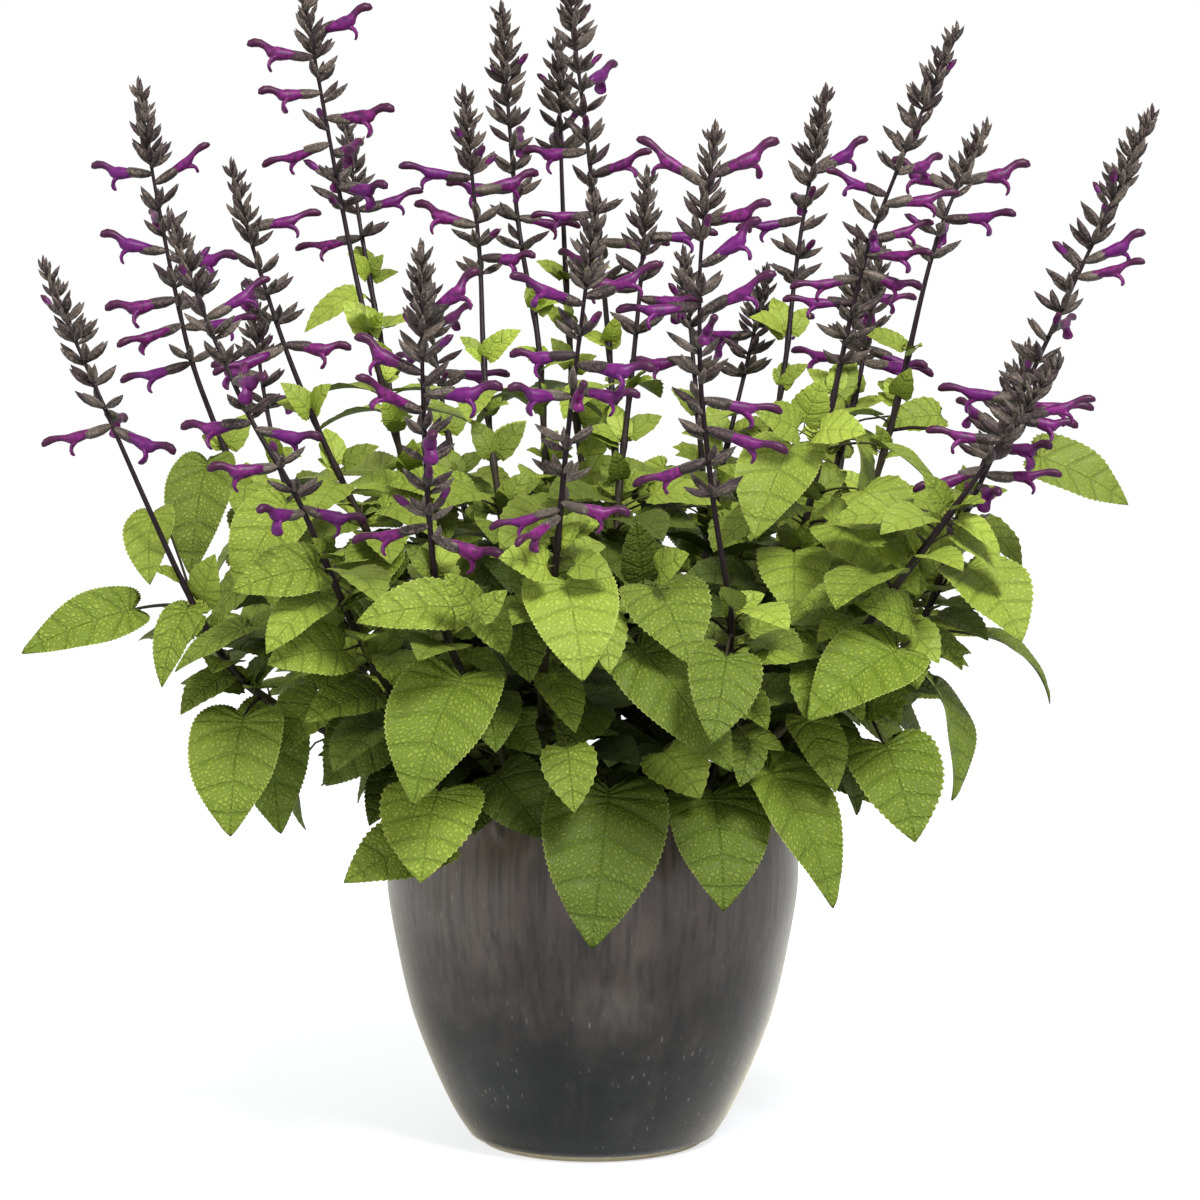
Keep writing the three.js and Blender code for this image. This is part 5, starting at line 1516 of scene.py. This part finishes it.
for stem in stems:
    blooms = [(f.root, f.out, chance.uniform(*BLOOM_SIZES), chance.uniform() < WIDE_SHARE)
              for f in stem.blooms]
    rows = [(c.root, c.out, c.size, 0) for c in stem.calyces] + [(*bloom[:3], 1) for bloom in blooms]
    grow_on_spike(f"calyces_{stem.number:02d}", stem, calyx_tree, rows)
    buds = [c for c in stem.calyces if BUD_FROM_SIZE < c.size and chance.uniform() < BUD_SHARE]
    rows = [(c.root, c.out, c.size * BUD_SIZE, 0) for c in buds]
    rows += [(root, unit(out + chance.uniform(-LEAN, LEAN, 3)), size, 1 + wide)
             for root, out, size, wide in blooms]
    piece = grow_on_spike(f"flowers_{stem.number:02d}", stem, flower_tree, rows)
print("the last spike's flowers have", len(piece.data.polygons), "faces")

for spare in (great_leaf, large_leaf, middle_leaf, small_leaf, closed_calyx, open_calyx, petal_bud,
              long_corolla, wide_corolla):
    bpy.data.objects.remove(spare)


# %% [markdown]
# ## The pot and the soil
#
# The pot is a turned shape, so one profile swept round the axis makes it. A Screw modifier could do that,
# but a few lines of mesh code also close the poles. Three holes are drilled through its base.

# %% Turned shapes
POT_SIDES = 128
FOOT_RADIUS = 66
FLOOR = 14
INNER_PROFILE = [(66, FLOOR), (77, 22), (101.5, 83), (115.5, 157), (111.5, 213)]
DRAIN_HOLES = 3
DRAIN_RADIUS = 6
DRAIN_CIRCLE = 34          # the radius on which they lie
DRILL_SIDES = 32
SEAT_GAP = 0.35            # between the soil and the pot


def smooth_profile(profile, steps):
    return [tuple(along(profile, i / steps)) for i in range(steps + 1)]


def turned(name, profile):
    """A closed shape from a profile (radius, height) whose ends lie on the axis."""
    points, rings = [], []
    for radius, z in profile:
        count = 1 if radius == 0 else POT_SIDES
        rings.append(list(range(len(points), len(points) + count)))
        points += [(radius * math.cos(2 * math.pi * k / count), radius * math.sin(2 * math.pi * k / count), z)
                   for k in range(count)]
    faces = []
    for a, b in zip(rings, rings[1:]):
        for k in range(POT_SIDES):
            ring = [a[k % len(a)], a[(k + 1) % len(a)], b[(k + 1) % len(b)], b[k % len(b)]]
            faces.append(list(dict.fromkeys(ring)))
    return new_mesh(name, np.array(points) * MM, faces)


def piece_of(name, mesh, finish):
    mesh.materials.append(finish)
    return template(name, mesh)


lip = [(121.2, 215.5), (120.2, 217.6), (118, RIM_HEIGHT), (114.5, RIM_HEIGHT), (112.3, 217.2)]
outer = [(FOOT_RADIUS, 0), (68.2, 0.4), (69, 3), *smooth_profile(POT_PROFILE[1:], 40)]
pot_mesh = turned("pot_body", [(0, 0), *outer, *lip, *smooth_profile(INNER_PROFILE[::-1], 24), (0, FLOOR)])
pot = piece_of("pot_body", pot_mesh, glaze_finish)

# %% Drain holes
drill_points, drill_faces = [], []
for i in range(DRAIN_HOLES):
    turn = 2 * math.pi * i / DRAIN_HOLES
    middle = place(DRAIN_CIRCLE * math.cos(turn), DRAIN_CIRCLE * math.sin(turn), 0)
    first = len(drill_points)
    upper = first + DRILL_SIDES
    for z in (-FLOOR, 2 * FLOOR):
        drill_points += [middle + (DRAIN_RADIUS * math.cos(a), DRAIN_RADIUS * math.sin(a), z)
                         for a in np.linspace(0, 2 * math.pi, DRILL_SIDES, endpoint=False)]
    drill_faces.append(list(range(first, upper))[::-1])
    drill_faces.append(list(range(upper, upper + DRILL_SIDES)))
    for k in range(DRILL_SIDES):
        after = (k + 1) % DRILL_SIDES
        drill_faces.append((first + k, first + after, upper + after, upper + k))
drill = template("drill", new_mesh("drill", np.array(drill_points) * MM, drill_faces))
cut = pot.modifiers.new("drain holes", "BOOLEAN")
cut.object = drill
cut.operation = "DIFFERENCE"
pot.data = bpy.data.meshes.new_from_object(pot.evaluated_get(bpy.context.evaluated_depsgraph_get()))
pot.modifiers.clear()
bpy.data.objects.remove(drill)
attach(pot, "root")
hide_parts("pot")
print("the pot has", len(pot.data.polygons), "faces and stands", RIM_HEIGHT, "mm tall")

# %% [markdown]
# The soil fills the pot to a little below its rim. A cylinder would leave a gap, because the pot is wider in
# its middle, so the soil is turned from the pot's own inner profile.

# %% The soil
SOIL_RINGS = (108, 84, 56, 28)        # radii of the rings on its top
wall = [(r - SEAT_GAP, z) for r, z in INNER_PROFILE if FLOOR < z < SOIL_LEVEL]
soil_edge = radius_at(INNER_PROFILE, SOIL_LEVEL) - SEAT_GAP
under = FLOOR + SEAT_GAP
soil_mesh = turned("soil_bed", [(0, under), (INNER_PROFILE[0][0] - SEAT_GAP, under), *wall,
                                (soil_edge, SOIL_LEVEL - 2), *((r, SOIL_LEVEL) for r in SOIL_RINGS),
                                (0, SOIL_LEVEL)])
soil = piece_of("soil_bed", soil_mesh, soil_finish)
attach(soil, "root")
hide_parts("soil")

# %% [markdown]
# Loose crumbs lie on the bed. Distribute Points on Faces scatters them with a fixed seed; a particle system
# would do it too, but particles are lost when the model is exported.

# %% Crumbs
CRUMB_SEED, TWIST_SEED, SQUASH_SEED = 4, 8, 9
CRUMBS_A_SQUARE_METRE = 26000.0
CRUMB_RADIUS = 0.0016      # metres
CRUMB_REACH = 105          # the radius that they are strewn over
CRUMB_SIDES = 48           # of the flat disc that carries them
crumb_tree, given = new_tree("crumbs", [
    ("Density", "Float", CRUMBS_A_SQUARE_METRE), ("Crumb", "Float", CRUMB_RADIUS),
    ("Finish", "Material", soil_finish)])
scatter = add_node(crumb_tree, "GeometryNodeDistributePointsOnFaces",
                   {"Mesh": given["Geometry"], "Density": given["Density"], "Seed": CRUMB_SEED})
ball = Field(add_node(crumb_tree, "GeometryNodeMeshIcoSphere", {"Radius": given["Crumb"], "Subdivisions": 1}))
squash = Field(add_node(crumb_tree, "FunctionNodeRandomValue",
                        {0: (0.4, 0.4, 0.3), 1: (1.9, 1.5, 0.9), "Seed": SQUASH_SEED},
                        data_type="FLOAT_VECTOR"))
twist = Field(add_node(crumb_tree, "FunctionNodeRandomValue",
                       {0: (-0.4, -0.4, 0), 1: (0.4, 0.4, 6.28), "Seed": TWIST_SEED},
                       data_type="FLOAT_VECTOR"))
crumbs_here = Field(add_node(crumb_tree, "GeometryNodeInstanceOnPoints",
                             {"Points": Field(scatter), "Instance": ball, "Scale": squash}))
turned_crumbs = Field(add_node(crumb_tree, "GeometryNodeRotateInstances",
                               {"Instances": crumbs_here, "Rotation": twist}))
end_tree(crumb_tree, turned_crumbs, given["Finish"])

disc = [(CRUMB_REACH * math.cos(a), CRUMB_REACH * math.sin(a), SOIL_LEVEL)
        for a in np.linspace(0, 2 * math.pi, CRUMB_SIDES, endpoint=False)]
crumb_bed = new_mesh("soil_crumbs", np.array(disc) * MM, [list(range(CRUMB_SIDES))])
crumbs = grow("soil_crumbs", crumb_bed, crumb_tree, ["soil"])
print(len(crumbs.data.polygons) // 20, "crumbs on the soil")


# %% [markdown]
# ## Floor and light
#
# A plain pale floor and soft light from above and the left, as in a studio. The floor runs on under a pale
# world, so that no edge of it shows.

# %% Stage
FLOOR_SPAN = 40.0          # metres from the middle to each side
FLOOR_GLOW = 0.64          # keeps the floor pale in the picture, without lighting the plant
SKY_LIGHT = 0.76           # what the pale world gives to the plant,
SKY_SEEN = 0.24            # and what the picture adds to it
WARM_SKY = (1, 0.955, 0.87, 1)
WHITE = (1, 1, 1, 1)
floor_finish, tree, shader = new_finish("floor", Roughness=0.8, Specular_IOR_Level=0.0)
shader.inputs["Base Color"].default_value = (0.48, 0.51, 0.56, 1)
shader.inputs["Emission Color"].default_value = WHITE
seen = Field(add_node(tree, "ShaderNodeLightPath"), "Is Camera Ray")
feed(tree, shader, Emission_Strength=seen * FLOOR_GLOW)
floor = template("floor", new_mesh("floor", [(-FLOOR_SPAN, -FLOOR_SPAN, 0), (FLOOR_SPAN, -FLOOR_SPAN, 0),
                                             (FLOOR_SPAN, FLOOR_SPAN, 0), (-FLOOR_SPAN, FLOOR_SPAN, 0)],
                                   [(0, 1, 2, 3)]))
floor.data.materials.append(floor_finish)

world = bpy.data.worlds.new("studio")
world.use_nodes = True
tree = world.node_tree
glow = tree.nodes["Background"]
seen = Field(add_node(tree, "ShaderNodeLightPath"), "Is Camera Ray")
feed(tree, glow, Color=blend(tree, seen, WARM_SKY, WHITE), Strength=seen * SKY_SEEN + SKY_LIGHT)
scene.world = world


def area_light(name, spot, aim, size, power):
    """A round lamp at one spot that looks at another. Sizes are in metres and power in watts."""
    lamp = bpy.data.lights.new(name, "AREA")
    lamp.shape = "DISK"
    lamp.size = size
    lamp.energy = power
    thing = bpy.data.objects.new(name, lamp)
    thing.location = spot
    direction = place(*aim) - place(*spot)
    thing.rotation_euler = (math.acos(-direction[2] / np.linalg.norm(direction)), 0,
                            math.atan2(direction[1], direction[0]) - math.pi / 2)
    scene.collection.objects.link(thing)


area_light("key", (0.9, -1.7, 2.4), (0, 0, 0.4), 1.0, 98)
area_light("fill", (-1.9, -1.2, 1.3), (0, 0, 0.35), 1.4, 18)
scene.view_settings.view_transform = "Standard"
